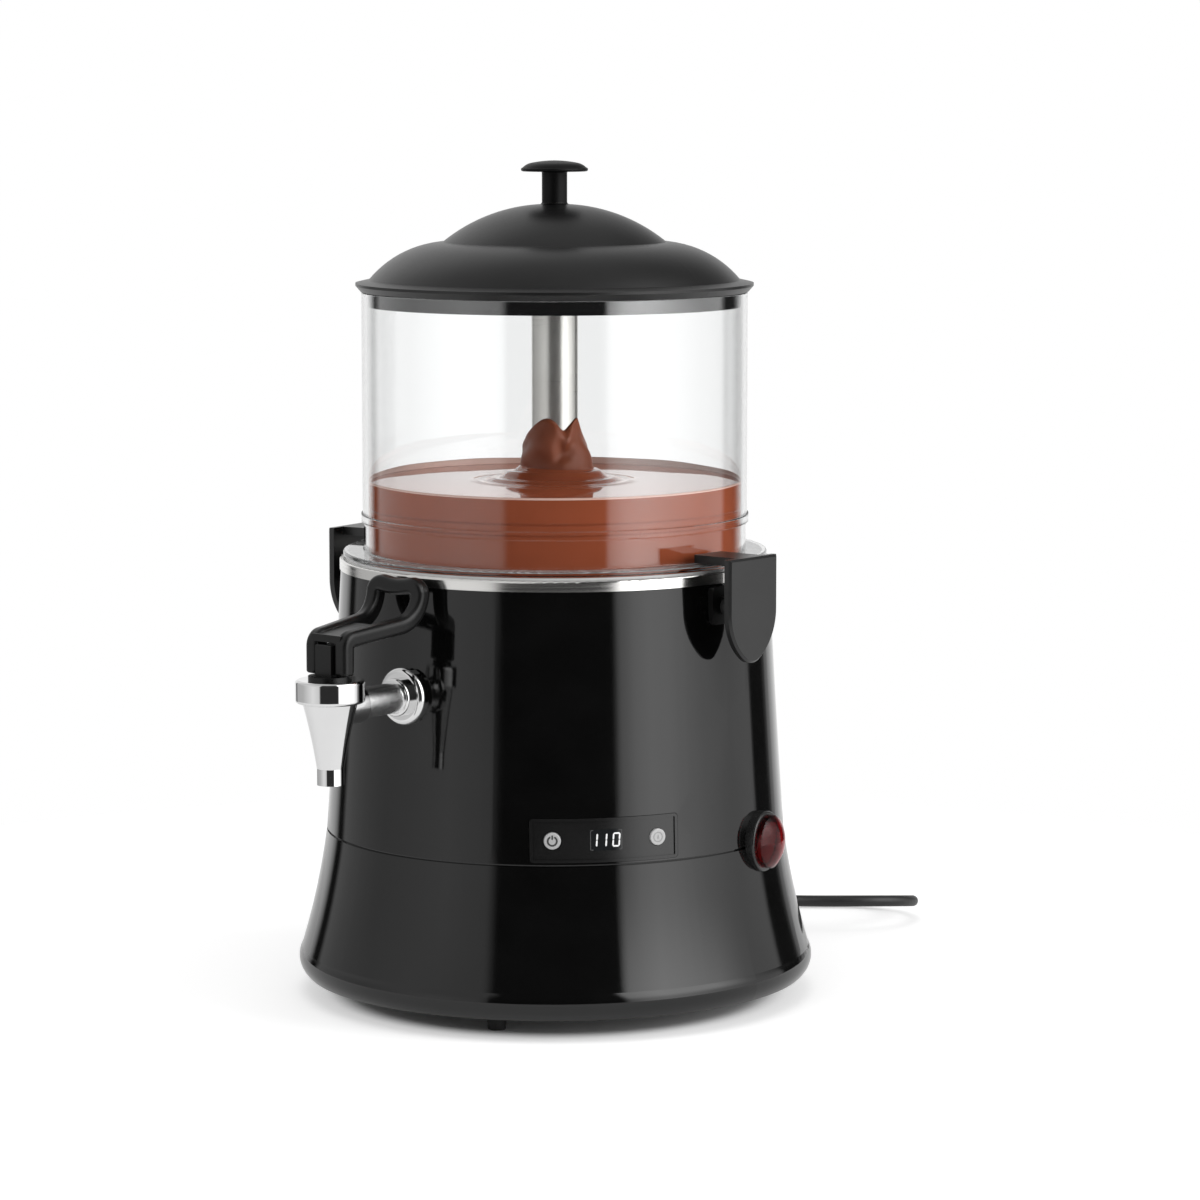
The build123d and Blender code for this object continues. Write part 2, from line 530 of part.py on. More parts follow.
# Lid: one domed shell with a crease, a brim and a skirt that drops inside the bowl
with BuildPart() as lid:
    with BuildSketch(Plane.XZ):
        with BuildLine():
            Line((0, crown_z), (crown_r, crown_z))
            ThreePointArc((crown_r, crown_z), (dome_mid_r, dome_mid_z), (crease_r, crease_z))
            shoulder_mid = (shoulder_mid_r, shoulder_mid_z)
            ThreePointArc((crease_r, crease_z), shoulder_mid, (shoulder_r, shoulder_z))
            Polyline(
                (shoulder_r, shoulder_z),
                (brim_r, brim_high_z),
                (brim_r, brim_low_z),
                (seat_r, seat_z),
                (skirt_outer_r, seat_z),
                (skirt_outer_r, skirt_low_z),
                (skirt_inner_r, skirt_low_z),
                (shoulder_r - lid_wall, shoulder_z - lid_wall),
            )
            under_shoulder = (shoulder_r - lid_wall, shoulder_z - lid_wall)
            under_mid = (shoulder_mid_r - lid_wall / 2, shoulder_mid_z - lid_wall)
            under_crease = (crease_r - lid_wall / 2, crease_z - lid_wall)
            ThreePointArc(under_shoulder, under_mid, under_crease)
            ThreePointArc(under_crease, (dome_mid_r, dome_mid_z - lid_wall), (crown_r, crown_z - lid_wall))
            Polyline((crown_r, crown_z - lid_wall), (0, crown_z - lid_wall), (0, crown_z))
        make_face()
    revolve(axis=Axis.Z)
    with BuildSketch(Plane.XY.offset(crown_z)):
        Circle(knob_hole_r + lap_gap)
    extrude(amount=-lid_wall, mode=Mode.SUBTRACT)
lid.part.label = "lid"
export_step(lid.part, "parts/lid.step")

with BuildPart() as lid_knob:
    with BuildSketch(Plane.XZ):
        with BuildLine():
            Line((0, crown_z), (stem_foot_r, crown_z))
            foot_top = (stem_r, crown_z + stem_foot_r - stem_r)
            TangentArc(foot_top, (stem_foot_r, crown_z), tangent=(0, -1))
            neck_top = (stem_r, knob_edge_low_z - neck_round)
            neck_out = (stem_r + neck_round, knob_edge_low_z)
            Line(foot_top, neck_top)
            TangentArc(neck_top, neck_out, tangent=(0, 1))
            edge_low = (knob_r - edge_round, knob_edge_low_z)
            edge_high = (knob_r - edge_round, knob_edge_high_z)
            Line(neck_out, edge_low)
            ThreePointArc(edge_low, (knob_r, (knob_edge_low_z + knob_edge_high_z) / 2), edge_high)
            crown = TangentArc((0, knob_high_z), (knob_turn_r, knob_turn_z), tangent=(1, 0))
            TangentArc(crown @ 1, edge_high, tangent=crown % 1)
            Line((0, knob_high_z), (0, crown_z))
        make_face()
    revolve(axis=Axis.Z)
    with BuildSketch(Plane.XY.offset(crown_z)):
        Circle(knob_hole_r)
    extrude(amount=knob_hole_z - crown_z, mode=Mode.SUBTRACT)
lid_knob.part.label = "lid_knob"
export_step(lid_knob.part, "parts/lid_knob.step")

with BuildPart() as knob_screw:
    with BuildSketch(Plane.XZ):
        screw_seat_z = crown_z - lid_wall
        ring_section(0, knob_screw_head_r, screw_seat_z - knob_screw_head_thick, screw_seat_z)
        ring_section(0, knob_hole_r, screw_seat_z, knob_hole_z - wall)
    revolve(axis=Axis.Z)
knob_screw.part.label = "knob_screw"
export_step(knob_screw.part, "parts/knob_screw.step")

# Tap body: collar, tapering spout, valve chamber and a boss for the shank
spout_axis = Axis((0, spout_y, 0), (0, 0, 1))
spout_plane = Plane(origin=(0, spout_y, 0), x_dir=(1, 0, 0), z_dir=(0, -1, 0))
with BuildPart() as tap_body:
    with BuildSketch(spout_plane):
        with BuildLine():
            flat_r = collar_r - collar_round
            side_high = (collar_r, collar_high_z - collar_round)
            side_low = (collar_r, collar_low_z + collar_round)
            Line((0, collar_high_z), (flat_r, collar_high_z))
            RadiusArc((flat_r, collar_high_z), side_high, collar_round)
            Line(side_high, side_low)
            RadiusArc(side_low, (flat_r, collar_low_z), collar_round)
            cone_mid = ((cone_r + tip_r) / 2 - 0.5, (collar_low_z + tip_z) / 2)
            Line((flat_r, collar_low_z), (cone_r, collar_low_z))
            ThreePointArc((cone_r, collar_low_z), cone_mid, (tip_r, tip_z))
            Polyline((tip_r, tip_z), (tip_r, outlet_z), (0, outlet_z), (0, collar_high_z))
        make_face()
    revolve(axis=spout_axis)
    with BuildSketch(facing(0, -spout_y - boss_reach, tap_z)):
        Circle(escutcheon_hub_r)
    extrude(amount=boss_reach)
    with BuildSketch(spout_plane):
        with BuildLine():
            Polyline(
                (0, collar_high_z),
                (chamber_r, collar_high_z),
                (chamber_r, throat_high_z),
                (throat_r, throat_low_z),
                (throat_r, outlet_z),
                (0, outlet_z),
                close=True,
            )
        make_face()
    revolve(axis=spout_axis, mode=Mode.SUBTRACT)
    with BuildSketch(facing(0, -spout_y - boss_reach, tap_z)):
        Circle(shank_r)
    extrude(amount=boss_reach - chamber_r, mode=Mode.SUBTRACT)
    with BuildSketch(facing(0, -spout_y - boss_reach, tap_z)):
        Circle(shank_bore_r)
    extrude(amount=boss_reach, mode=Mode.SUBTRACT)
tap_body.part.label = "tap_body"
export_step(tap_body.part, "parts/tap_body.step")

with BuildPart() as tap_shank:
    with BuildSketch(facing(0, -shank_end_y, tap_z)):
        Circle(shank_r)
        Circle(shank_bore_r, mode=Mode.SUBTRACT)
    extrude(amount=shank_end_y - spout_y - chamber_r)
tap_shank.part.label = "tap_shank"
export_step(tap_shank.part, "parts/tap_shank.step")

# Escutcheon against the casing, washer and nut inside the pan
with BuildPart() as tap_escutcheon:
    wall_at_tap = waist_r - 4 * wall
    with BuildSketch(facing(0, wall_at_tap, tap_z)):
        Circle(escutcheon_r)
    extrude(amount=waist_r - wall_at_tap + escutcheon_thick)
    rim_edges = tap_escutcheon.edges().filter_by(GeomType.CIRCLE).sort_by(Axis.Y)
    fillet(rim_edges[0], wall)
    with BuildSketch(facing(0, wall_at_tap, tap_z)):
        Circle(escutcheon_hub_r)
    extrude(amount=waist_r - wall_at_tap + escutcheon_hub_thick)
    fillet(tap_escutcheon.edges().filter_by(GeomType.CIRCLE).sort_by(Axis.Y)[0], wall / 2)
    add(casing_solid, mode=Mode.SUBTRACT)
    with BuildSketch(facing(0, wall_at_tap, tap_z)):
        Circle(shank_r)
    extrude(amount=-spout_y - wall_at_tap, mode=Mode.SUBTRACT)
tap_escutcheon.part.label = "tap_escutcheon"
export_step(tap_escutcheon.part, "parts/tap_escutcheon.step")

with BuildPart() as tap_washer:
    with BuildSketch(facing(0, pan_r - washer_thick, tap_z)):
        Circle(washer_r)
    extrude(amount=washer_thick)
    with BuildSketch(Plane.XY.offset(tap_z - 2 * washer_r)):
        Circle(pan_r)
    extrude(amount=4 * washer_r, mode=Mode.INTERSECT)
    with BuildSketch(facing(0, pan_r - washer_thick, tap_z)):
        Circle(shank_r)
    extrude(amount=2 * washer_thick, mode=Mode.SUBTRACT)
tap_washer.part.label = "tap_washer"
export_step(tap_washer.part, "parts/tap_washer.step")

with BuildPart() as tap_nut:
    with BuildSketch(facing(0, pan_r - washer_thick - nut_thick, tap_z)):
        RegularPolygon(nut_r, 6)
        Circle(shank_r, mode=Mode.SUBTRACT)
    extrude(amount=nut_thick)
tap_nut.part.label = "tap_nut"
export_step(tap_nut.part, "parts/tap_nut.step")

# Bonnet: plug and ring on the collar, with a slotted tower that guides the stem
with BuildPart() as tap_bonnet:
    with BuildSketch(spout_plane):
        ring_section(0, chamber_r, bonnet_plug_z, collar_high_z)
        ring_section(0, bonnet_r, collar_high_z, bonnet_ring_z)
    revolve(axis=spout_axis)
    with BuildSketch(Plane.XY.offset(bonnet_ring_z)):
        with Locations((0, spout_y)):
            Rectangle(tower_width, tower_depth)
    extrude(amount=tower_z - bonnet_ring_z)
    fillet(tap_bonnet.edges().filter_by(GeomType.LINE).group_by(Axis.Z)[-1], wall / 3)
    with BuildSketch(Plane.XY.offset(bonnet_plug_z)):
        with Locations((0, spout_y)):
            Circle(stem_rod_r + running_gap)
    extrude(amount=stem_high_z + 2 * lever_lift - bonnet_plug_z - wall / 3, mode=Mode.SUBTRACT)
    with BuildSketch(Plane(origin=(0, spout_y, lever_pin_z), x_dir=(0, 0, 1), z_dir=(1, 0, 0))):
        with Locations((lever_lift / 2, 0)):
            SlotCenterToCenter(2 * lever_lift, 2 * (lever_pin_r + lap_gap))
    extrude(amount=tower_width, both=True, mode=Mode.SUBTRACT)
tap_bonnet.part.label = "tap_bonnet"
export_step(tap_bonnet.part, "parts/tap_bonnet.step")

# Valve stem, its rubber seat cup, the closing spring and the lever's pin
with BuildPart() as tap_stem:
    with BuildSketch(spout_plane):
        ring_section(0, stem_rod_r, cup_high_z - 2 * wall, stem_high_z)
        ring_section(0, stem_collar_r, stem_collar_z, stem_collar_z + stem_collar_thick)
    revolve(axis=spout_axis)
    with BuildSketch(Plane(origin=(0, spout_y, lever_pin_z), x_dir=(0, 1, 0), z_dir=(1, 0, 0))):
        Circle(lever_pin_r)
    extrude(amount=tower_width, both=True, mode=Mode.SUBTRACT)
tap_stem.part.label = "tap_stem"
export_step(tap_stem.part, "parts/tap_stem.step")

with BuildPart() as tap_seat_cup:
    with BuildSketch(spout_plane):
        with BuildLine():
            Polyline(
                (0, cup_low_z),
                (cup_low_r, cup_low_z),
                (cup_r, cup_high_z),
                (stem_rod_r, cup_high_z),
                (stem_rod_r, cup_high_z - 2 * wall),
                (0, cup_high_z - 2 * wall),
                close=True,
            )
        make_face()
    revolve(axis=spout_axis)
tap_seat_cup.part.label = "tap_seat_cup"
export_step(tap_seat_cup.part, "parts/tap_seat_cup.step")


def climbing_half_turn(centre, radius, outward, forward, rise):
    """Half a turn of wire about centre, as two tangent arcs that climb by rise."""
    reach = math.sqrt(radius**2 + rise**2 / 4)
    first = centre + outward * radius
    middle = centre + forward * reach + Vector(0, 0, rise / 2)
    last = centre - outward * radius + Vector(0, 0, rise)
    TangentArc(first, middle, tangent=forward)
    TangentArc(middle, last, tangent=outward * (-radius / reach) + Vector(0, 0, rise / (2 * reach)))


spring_rise = (spring_high_z - spring_low_z - 2 * spring_wire_r) / (2 * spring_turns)
with BuildPart() as tap_spring:
    with BuildLine() as spring_line:
        for half in range(2 * spring_turns):
            side = 1 if half % 2 == 0 else -1
            level = Vector(0, spout_y, spring_low_z + spring_wire_r + half * spring_rise)
            climbing_half_turn(level, spring_r, Vector(side, 0, 0), Vector(0, side, 0), spring_rise)
    with BuildSketch(Plane(origin=spring_line.line @ 0, z_dir=spring_line.line % 0)):
        Circle(spring_wire_r)
    sweep()
tap_spring.part.label = "tap_spring"
export_step(tap_spring.part, "parts/tap_spring.step")

with BuildPart() as lever_pin:
    with BuildSketch(Plane(origin=(0, spout_y, lever_pin_z), x_dir=(0, 1, 0), z_dir=(1, 0, 0))):
        Circle(lever_pin_r)
    extrude(amount=lever_pin_length / 2, both=True)
lever_pin.part.label = "lever_pin"
export_step(lever_pin.part, "parts/lever_pin.step")

# Lever: one soft-edged bar bent into a fork below and a finger loop above, with a web over the tower
fork_half = tower_width / 2 + fork_gap + lever_bar / 2
loop_z = lever_top_z - lever_bar / 2
heel_z = lever_pin_z - heel_drop
right_side = (
    (fork_half, spout_y + lever_base_y, heel_z),
    (fork_half, spout_y + lever_base_y, knee_z),
    (loop_half, spout_y + lever_back_y, elbow_z),
    (loop_half, spout_y + lever_back_y, loop_z),
)
left_side = [(-across, along, height) for across, along, height in reversed(right_side)]
side_rounds = [knee_round, elbow_round, loop_round]
with BuildPart() as tap_lever:
    with BuildLine() as lever_line:
        FilletPolyline(
            *right_side,
            (0, spout_y + lever_back_y, loop_z - loop_dip),
            *left_side,
            radius=[*side_rounds, dip_round, *reversed(side_rounds)],
        )
    with BuildSketch(Plane(origin=right_side[0], x_dir=(1, 0, 0), z_dir=(0, 0, 1))):
        RectangleRounded(lever_bar, lever_bar, lever_edge_round)
    sweep()
    fillet(tap_lever.edges().group_by(Axis.Z)[0], heel_round)
    with BuildSketch(Plane(origin=(0, spout_y, lever_pin_z), x_dir=(0, 1, 0), z_dir=(1, 0, 0))):
        Circle(lever_pin_r + running_gap)
    extrude(amount=lever_pin_length / 2 + lap_gap, both=True, mode=Mode.SUBTRACT)
    with BuildSketch(Plane(origin=(0, spout_y, 0), x_dir=(0, 1, 0), z_dir=(1, 0, 0))):
        with BuildLine():
            under = CenterArc((0, lever_pin_z), web_r, 90 - web_back_turn, web_back_turn + web_front_turn)
            Polyline(
                under @ 0,
                (web_end_y, web_end_low_z),
                (web_end_y, web_end_high_z),
                (web_front_y, web_high_z),
                under @ 1,
            )
        make_face()
    extrude(amount=fork_half, both=True)
tap_lever.part.label = "tap_lever"
export_step(tap_lever.part, "parts/tap_lever.step")

# Bowl clips: shield-shaped plate with a hook over the bowl's flange, ears and pin on a bracket
for side_name, azimuth in clip_azimuths.items():
    back = facing(azimuth, clip_face_r - clip_thick, 0)
    with BuildPart() as clip:
        with BuildSketch(back):
            with BuildLine():
                Line((-clip_half, clip_high_z), (clip_half, clip_high_z))
                Line((clip_half, clip_high_z), (clip_half, clip_side_z))
                lower = TangentArc((clip_half, clip_side_z), (clip_tip_half, clip_tip_z), tangent=(0, -1))
                tip = TangentArc(lower @ 1, (-clip_tip_half, clip_tip_z), tangent=lower % 1)
                TangentArc(tip @ 1, (-clip_half, clip_side_z), tangent=tip % 1)
                Line((-clip_half, clip_side_z), (-clip_half, clip_high_z))
            make_face()
        extrude(amount=clip_thick)
        chamfer(clip.faces().sort_by(Axis(back.origin, back.z_dir))[-1].edges(), clip_edge_round)
        with BuildSketch(back):
            with Locations((0, (hook_low_z + clip_high_z) / 2)):
                Rectangle(2 * hook_half, clip_high_z - hook_low_z)
        extrude(amount=hook_tip_r - clip_face_r + clip_thick)
        for ear_low in (-ear_outer, ear_inner):
            ear_plane = Plane(
                origin=back.from_local_coords(Vector(ear_low, 0, 0)),
                x_dir=back.z_dir,
                z_dir=back.x_dir,
            )
            pin_at = clip_pin_r - clip_face_r + clip_thick
            with BuildSketch(ear_plane):
                with Locations((pin_at, -clip_pin_z)):
                    Circle(ear_r)
                with Locations((pin_at / 2, -clip_pin_z)):
                    Rectangle(-pin_at, 2 * ear_r)
                with Locations((pin_at, -clip_pin_z)):
                    Circle(pin_r + running_gap, mode=Mode.SUBTRACT)
            extrude(amount=ear_outer - ear_inner)
    clip.part.label = f"bowl_clip_{side_name}"
    export_step(clip.part, f"parts/bowl_clip_{side_name}.step")

    wall_plane = facing(azimuth, shelf_r, clip_pin_z)
    with BuildPart() as clip_bracket:
        with BuildSketch(wall_plane):
            RectangleRounded(2 * bracket_half, bracket_height, wall)
        extrude(amount=rim_r + clip_base_thick - shelf_r)
        with BuildSketch(Plane(origin=wall_plane.origin, x_dir=wall_plane.z_dir, z_dir=wall_plane.x_dir)):
            with Locations((clip_pin_r - shelf_r, 0)):
                Circle(ear_r)
            with Locations(((clip_pin_r - shelf_r) / 2, 0)):
                Rectangle(clip_pin_r - shelf_r, 2 * ear_r)
        extrude(amount=knuckle_half, both=True)
        with BuildSketch(Plane(origin=wall_plane.origin, x_dir=wall_plane.z_dir, z_dir=wall_plane.x_dir)):
            with Locations((clip_pin_r - shelf_r, 0)):
                Circle(pin_r)
        extrude(amount=knuckle_half, both=True, mode=Mode.SUBTRACT)
        add(bracket_back, mode=Mode.SUBTRACT)
    clip_bracket.part.label = f"clip_bracket_{side_name}"
    export_step(clip_bracket.part, f"parts/clip_bracket_{side_name}.step")

    pin_plane = facing(azimuth, clip_pin_r, clip_pin_z)
    with BuildPart() as clip_pin:
        with BuildSketch(Plane(origin=pin_plane.origin, x_dir=pin_plane.z_dir, z_dir=pin_plane.x_dir)):
            Circle(pin_r)
        extrude(amount=pin_length / 2, both=True)
    clip_pin.part.label = f"clip_pin_{side_name}"
    export_step(clip_pin.part, f"parts/clip_pin_{side_name}.step")

# Control panel: curved plate in its pocket, with a display window and two push buttons
button_azimuths = {"left": panel_azimuth - button_turn, "right": panel_azimuth + button_turn}
panel_plane = facing(panel_azimuth, shelf_r, panel_z)
panel_reach = seam_r - shelf_r + wall
with BuildPart() as frame_rim:
    with BuildSketch(panel_plane):
        RectangleRounded(panel_width, panel_height, panel_round)
        inner_width = panel_width - 2 * panel_frame
        inner_height = panel_height - 2 * panel_frame
        RectangleRounded(inner_width, inner_height, lap_gap, mode=Mode.SUBTRACT)
    extrude(amount=panel_reach)
    add(panel_floor, mode=Mode.SUBTRACT)
    add(frame_front, mode=Mode.INTERSECT)

with BuildPart() as control_panel:
    with BuildSketch(panel_plane):
        RectangleRounded(panel_width, panel_height, panel_round)
        Rectangle(window_width, window_height, mode=Mode.SUBTRACT)
    extrude(amount=panel_reach)
    add(panel_floor, mode=Mode.SUBTRACT)
    add(panel_front, mode=Mode.INTERSECT)
    for azimuth in button_azimuths.values():
        with BuildSketch(facing(azimuth, shelf_r, panel_z)):
            Circle(button_hole_r)
        extrude(amount=panel_reach, mode=Mode.SUBTRACT)
    add(frame_rim.part)
control_panel.part.label = "control_panel"
export_step(control_panel.part, "parts/control_panel.step")

with BuildPart() as display_window:
    with BuildSketch(panel_plane):
        Rectangle(window_width, window_height)
    extrude(amount=panel_reach)
    add(panel_floor, mode=Mode.SUBTRACT)
    add(panel_front, mode=Mode.INTERSECT)
display_window.part.label = "display_window"
export_step(display_window.part, "parts/display_window.step")

panel_face_r = seam_r - (seam_r - waist_r) * (panel_z - seam_z) / (waist_z - seam_z) - panel_recess
for side_name, azimuth in button_azimuths.items():
    face = facing(azimuth, panel_face_r, panel_z)
    with BuildPart() as button:
        with BuildSketch(face.offset(button_proud)):
            Circle(button_r)
        extrude(amount=-button_back)
        crown_edge = button.edges().filter_by(GeomType.CIRCLE).sort_by(Axis(face.origin, face.z_dir))[-1]
        fillet(crown_edge, button_proud / 2)
        with BuildSketch(face.offset(-panel_depth - 2 * lap_gap)):
            Circle(button_flange_r)
        extrude(amount=-button_flange_thick)
    button.part.label = f"button_{side_name}"
    export_step(button.part, f"parts/button_{side_name}.step")

# Control board on two posts behind the panel, carrying the display block
with BuildPart() as control_board:
    with BuildSketch(facing(panel_azimuth, board_r, panel_z)):
        Rectangle(board_width, board_height + 4 * post_r)
    extrude(amount=board_thick)
    with BuildSketch(facing(panel_azimuth, board_r + board_thick, panel_z)):
        Rectangle(window_width + 2, window_height + 1)
    extrude(amount=panel_face_r - panel_depth - board_r - board_thick - 2 * wall / 3)
    contact_r = panel_face_r + button_proud - button_back - button_play
    for azimuth in button_azimuths.values():
        with BuildSketch(facing(azimuth, board_r + 2 * board_thick, panel_z)):
            Circle(contact_half)
        extrude(amount=contact_r - board_r - 2 * board_thick)
control_board.part.label = "control_board"
export_step(control_board.part, "parts/control_board.step")

# Round rocker switch: bezel and barrel, tilting rocker, and a clear boot over it
switch_plane = facing(switch_azimuth, switch_wall_r, switch_z)
bezel_face = switch_plane.offset(bezel_proud)
rocker_side = Plane(origin=bezel_face.origin, x_dir=bezel_face.y_dir, z_dir=bezel_face.x_dir)
with BuildPart() as switch_bezel:
    with BuildSketch(switch_plane.offset(-2 * wall)):
        Circle(bezel_r)
    extrude(amount=bezel_proud + 2 * wall)
    bezel_rims = switch_bezel.edges().filter_by(GeomType.CIRCLE)
    fillet(bezel_rims.sort_by(Axis(bezel_face.origin, bezel_face.z_dir))[-1], bezel_round)
    add(casing_solid, mode=Mode.SUBTRACT)
    with BuildSketch(switch_plane.offset(-barrel_depth)):
        Circle(barrel_r)
    extrude(amount=barrel_depth)
    with BuildSketch(bezel_face):
        Circle(bezel_inner_r)
    extrude(amount=rocker_floor - 2 * bezel_proud, mode=Mode.SUBTRACT)
    with BuildSketch(rocker_side):
        with Locations((0, -rocker_pivot_depth)):
            Circle(rocker_pivot_r + running_gap)
    extrude(amount=rocker_pivot_half + lap_gap, both=True, mode=Mode.SUBTRACT)
switch_bezel.part.label = "switch_bezel"
export_step(switch_bezel.part, "parts/switch_bezel.step")

with BuildPart() as switch_rocker:
    with BuildSketch(bezel_face.offset(rocker_floor)):
        Circle(rocker_r)
    extrude(amount=2 * barrel_r)
    with BuildSketch(rocker_side):
        with BuildLine():
            past = rocker_r + 1
            Polyline((-past, rocker_edge), (-past, rocker_floor), (past, rocker_floor), (past, rocker_edge))
            ThreePointArc((past, rocker_edge), (0, rocker_edge - rocker_dip), (-past, rocker_edge))
        make_face()
    extrude(amount=rocker_r + 1, both=True, mode=Mode.INTERSECT)
    with BuildSketch(rocker_side):
        with Locations((0, -rocker_pivot_depth)):
            Circle(rocker_pivot_r)
    extrude(amount=rocker_pivot_half, both=True)
pivot = Axis(bezel_face.offset(-rocker_pivot_depth).origin, bezel_face.x_dir)
switch_rocker.part = switch_rocker.part.rotate(pivot, rocker_tilt)
switch_rocker.part.label = "switch_rocker"
export_step(switch_rocker.part, "parts/switch_rocker.step")

boot_side = Plane(origin=bezel_face.origin, x_dir=bezel_face.x_dir, z_dir=-bezel_face.y_dir)
with BuildPart() as switch_boot:
    with BuildSketch(boot_side):
        with BuildLine():
            inner_r = boot_r - boot_wall
            Polyline((inner_r, boot_side_rise), (inner_r, 0), (boot_r, 0), (boot_r, boot_side_rise))
            TangentArc((0, boot_rise), (boot_r, boot_side_rise), tangent=(1, 0))
            Line((0, boot_rise), (0, boot_rise - boot_wall))
            TangentArc((0, boot_rise - boot_wall), (inner_r, boot_side_rise), tangent=(1, 0))
        make_face()
    revolve(axis=Axis(bezel_face.origin, bezel_face.z_dir))
switch_boot.part.label = "switch_boot"
export_step(switch_boot.part, "parts/switch_boot.step")

# Terminal block on the base plate, and the strain relief in the back of the skirt
with BuildPart() as terminal_block:
    with BuildSketch(Plane.XY.offset(lip_z + plate_thick)):
        with Locations((0, terminal_y)):
            Rectangle(terminal_size[0], terminal_size[1])
    extrude(amount=terminal_size[2])
    top = terminal_block.faces().sort_by(Axis.Z)[-1]
    with BuildSketch(Plane.XY.offset(lip_z + plate_thick + terminal_size[2])):
        with Locations((0, terminal_y)):
            with GridLocations(terminal_size[0] / 3, terminal_size[1] / 2, 3, 2):
                Circle(screw_r * 2)
    extrude(amount=-2 * wall, mode=Mode.SUBTRACT)
terminal_block.part.label = "terminal_block"
export_step(terminal_block.part, "parts/terminal_block.step")

gland_plane = Plane(origin=(0, 0, gland_z), x_dir=(0, 1, 0), z_dir=(1, 0, 0))
with BuildPart() as cord_gland:
    with BuildSketch(gland_plane):
        with BuildLine():
            flange_end_y = gland_wall_y + gland_flange_thick + wall
            Polyline(
                (gland_wall_y - gland_inside, 0),
                (gland_wall_y - gland_inside, gland_root_r),
                (gland_wall_y - wall, gland_root_r),
                (gland_wall_y - wall, gland_flange_r),
                (flange_end_y, gland_flange_r),
                (flange_end_y, gland_root_r),
                (gland_end_y, gland_tip_r),
                (gland_end_y, 0),
                close=True,
            )
        make_face()
    revolve(axis=Axis((0, 0, gland_z), (0, 1, 0)))
    add(base_skirt.part, mode=Mode.SUBTRACT)
cord_gland.part.label = "cord_gland"
export_step(cord_gland.part, "parts/cord_gland.step")

# Mains lead from the gland to the coil: straight runs joined by tangent arcs
corner_radii = []
for before, corner, after in zip(cord_route, cord_route[1:], cord_route[2:]):
    run_in = Vector(corner) - Vector(before)
    run_out = Vector(after) - Vector(corner)
    half_turn = math.radians(run_in.get_angle(run_out)) / 2
    corner_radii.append(arc_share * min(run_in.length, run_out.length) / math.tan(half_turn))
print("cord radii", [round(radius, 1) for radius in corner_radii])
with BuildPart() as power_cord:
    with BuildLine() as cord_line:
        FilletPolyline(*cord_route, radius=corner_radii)
    with BuildSketch(Plane(origin=cord_line.line @ 0, z_dir=cord_line.line % 0)):
        Circle(cord_r)
    sweep()
cord_length = cord_line.wire().length
cord_section = math.pi * cord_r**2
print("cord free length", round(cord_length, 1))
print("cord volume ratio", round(power_cord.part.volume / (cord_section * cord_length), 4))
power_cord.part.label = "power_cord"
export_step(power_cord.part, "parts/power_cord.step")

# Coil: spirals in on the floor, climbs a layer, and spirals out again on top of itself
coil_start = Vector(cord_route[-1])
heading = (coil_start - Vector(cord_route[-2])).normalized()
across = Vector(heading.Y, -heading.X, 0)
with BuildPart() as cord_coil:
    with BuildLine() as coil_line:
        side = 1
        radius = coil_r
        lead_end = coil_start + heading * (2 * cord_r)
        Line(coil_start, lead_end)
        at = lead_end
        for half in range(2 * coil_half_turns):
            inward = half < coil_half_turns
            rise = coil_layer if half == coil_half_turns else 0
            centre = at + across * (side * radius)
            climbing_half_turn(centre, radius, across * -side, heading * side, rise)
            at = centre + across * (side * radius) + Vector(0, 0, rise)
            radius += -coil_pitch / 2 if inward else coil_pitch / 2
            side = -side
        coil_end = at + heading * plug_lead
        Line(at, coil_end)
    with BuildSketch(Plane(origin=coil_start, z_dir=heading)):
        Circle(cord_r)
    sweep()
coil_length = coil_line.wire().length
print("coil length", round(coil_length, 1), "ends at", coil_end)
print("coil volume ratio", round(cord_coil.part.volume / (cord_section * coil_length), 4))
cord_coil.part.label = "cord_coil"
export_step(cord_coil.part, "parts/cord_coil.step")

coil_wire = coil_line.wire()
samples = 700
coil_points = [coil_wire @ (index / samples) for index in range(samples + 1)]
apart = math.ceil(4 * cord_r * samples / coil_length)
coil_gap = min(
    (coil_points[first] - coil_points[second]).length
    for first in range(samples + 1)
    for second in range(first + apart, samples + 1)
)
print("coil least gap to itself", round(coil_gap - 2 * cord_r, 2))

# Strap round the strands on the coil's far side, where both layers lie three abreast
strands = 3
tie_near = 2 * coil_r - (strands - 1) * coil_pitch - cord_r - 2
tie_far = 2 * coil_r + cord_r + tie_gap
tie_low = coil_start.Z - cord_r - tie_gap
tie_high = coil_start.Z + coil_layer + cord_r + tie_gap
with BuildPart() as cord_tie:
    tie_at = lead_end + heading * tie_back
    with BuildSketch(Plane(origin=(tie_at.X, tie_at.Y, 0), x_dir=across, z_dir=-heading)):
        with Locations(((tie_near + tie_far) / 2, (tie_low + tie_high) / 2)):
            broad = tie_far - tie_near
            upright = tie_high - tie_low
            RectangleRounded(broad + 2 * tie_thick, upright + 2 * tie_thick, cord_r)
            RectangleRounded(broad, upright, cord_r - tie_thick, mode=Mode.SUBTRACT)
    extrude(amount=tie_width / 2, both=True)
cord_tie.part.label = "cord_tie"
export_step(cord_tie.part, "parts/cord_tie.step")

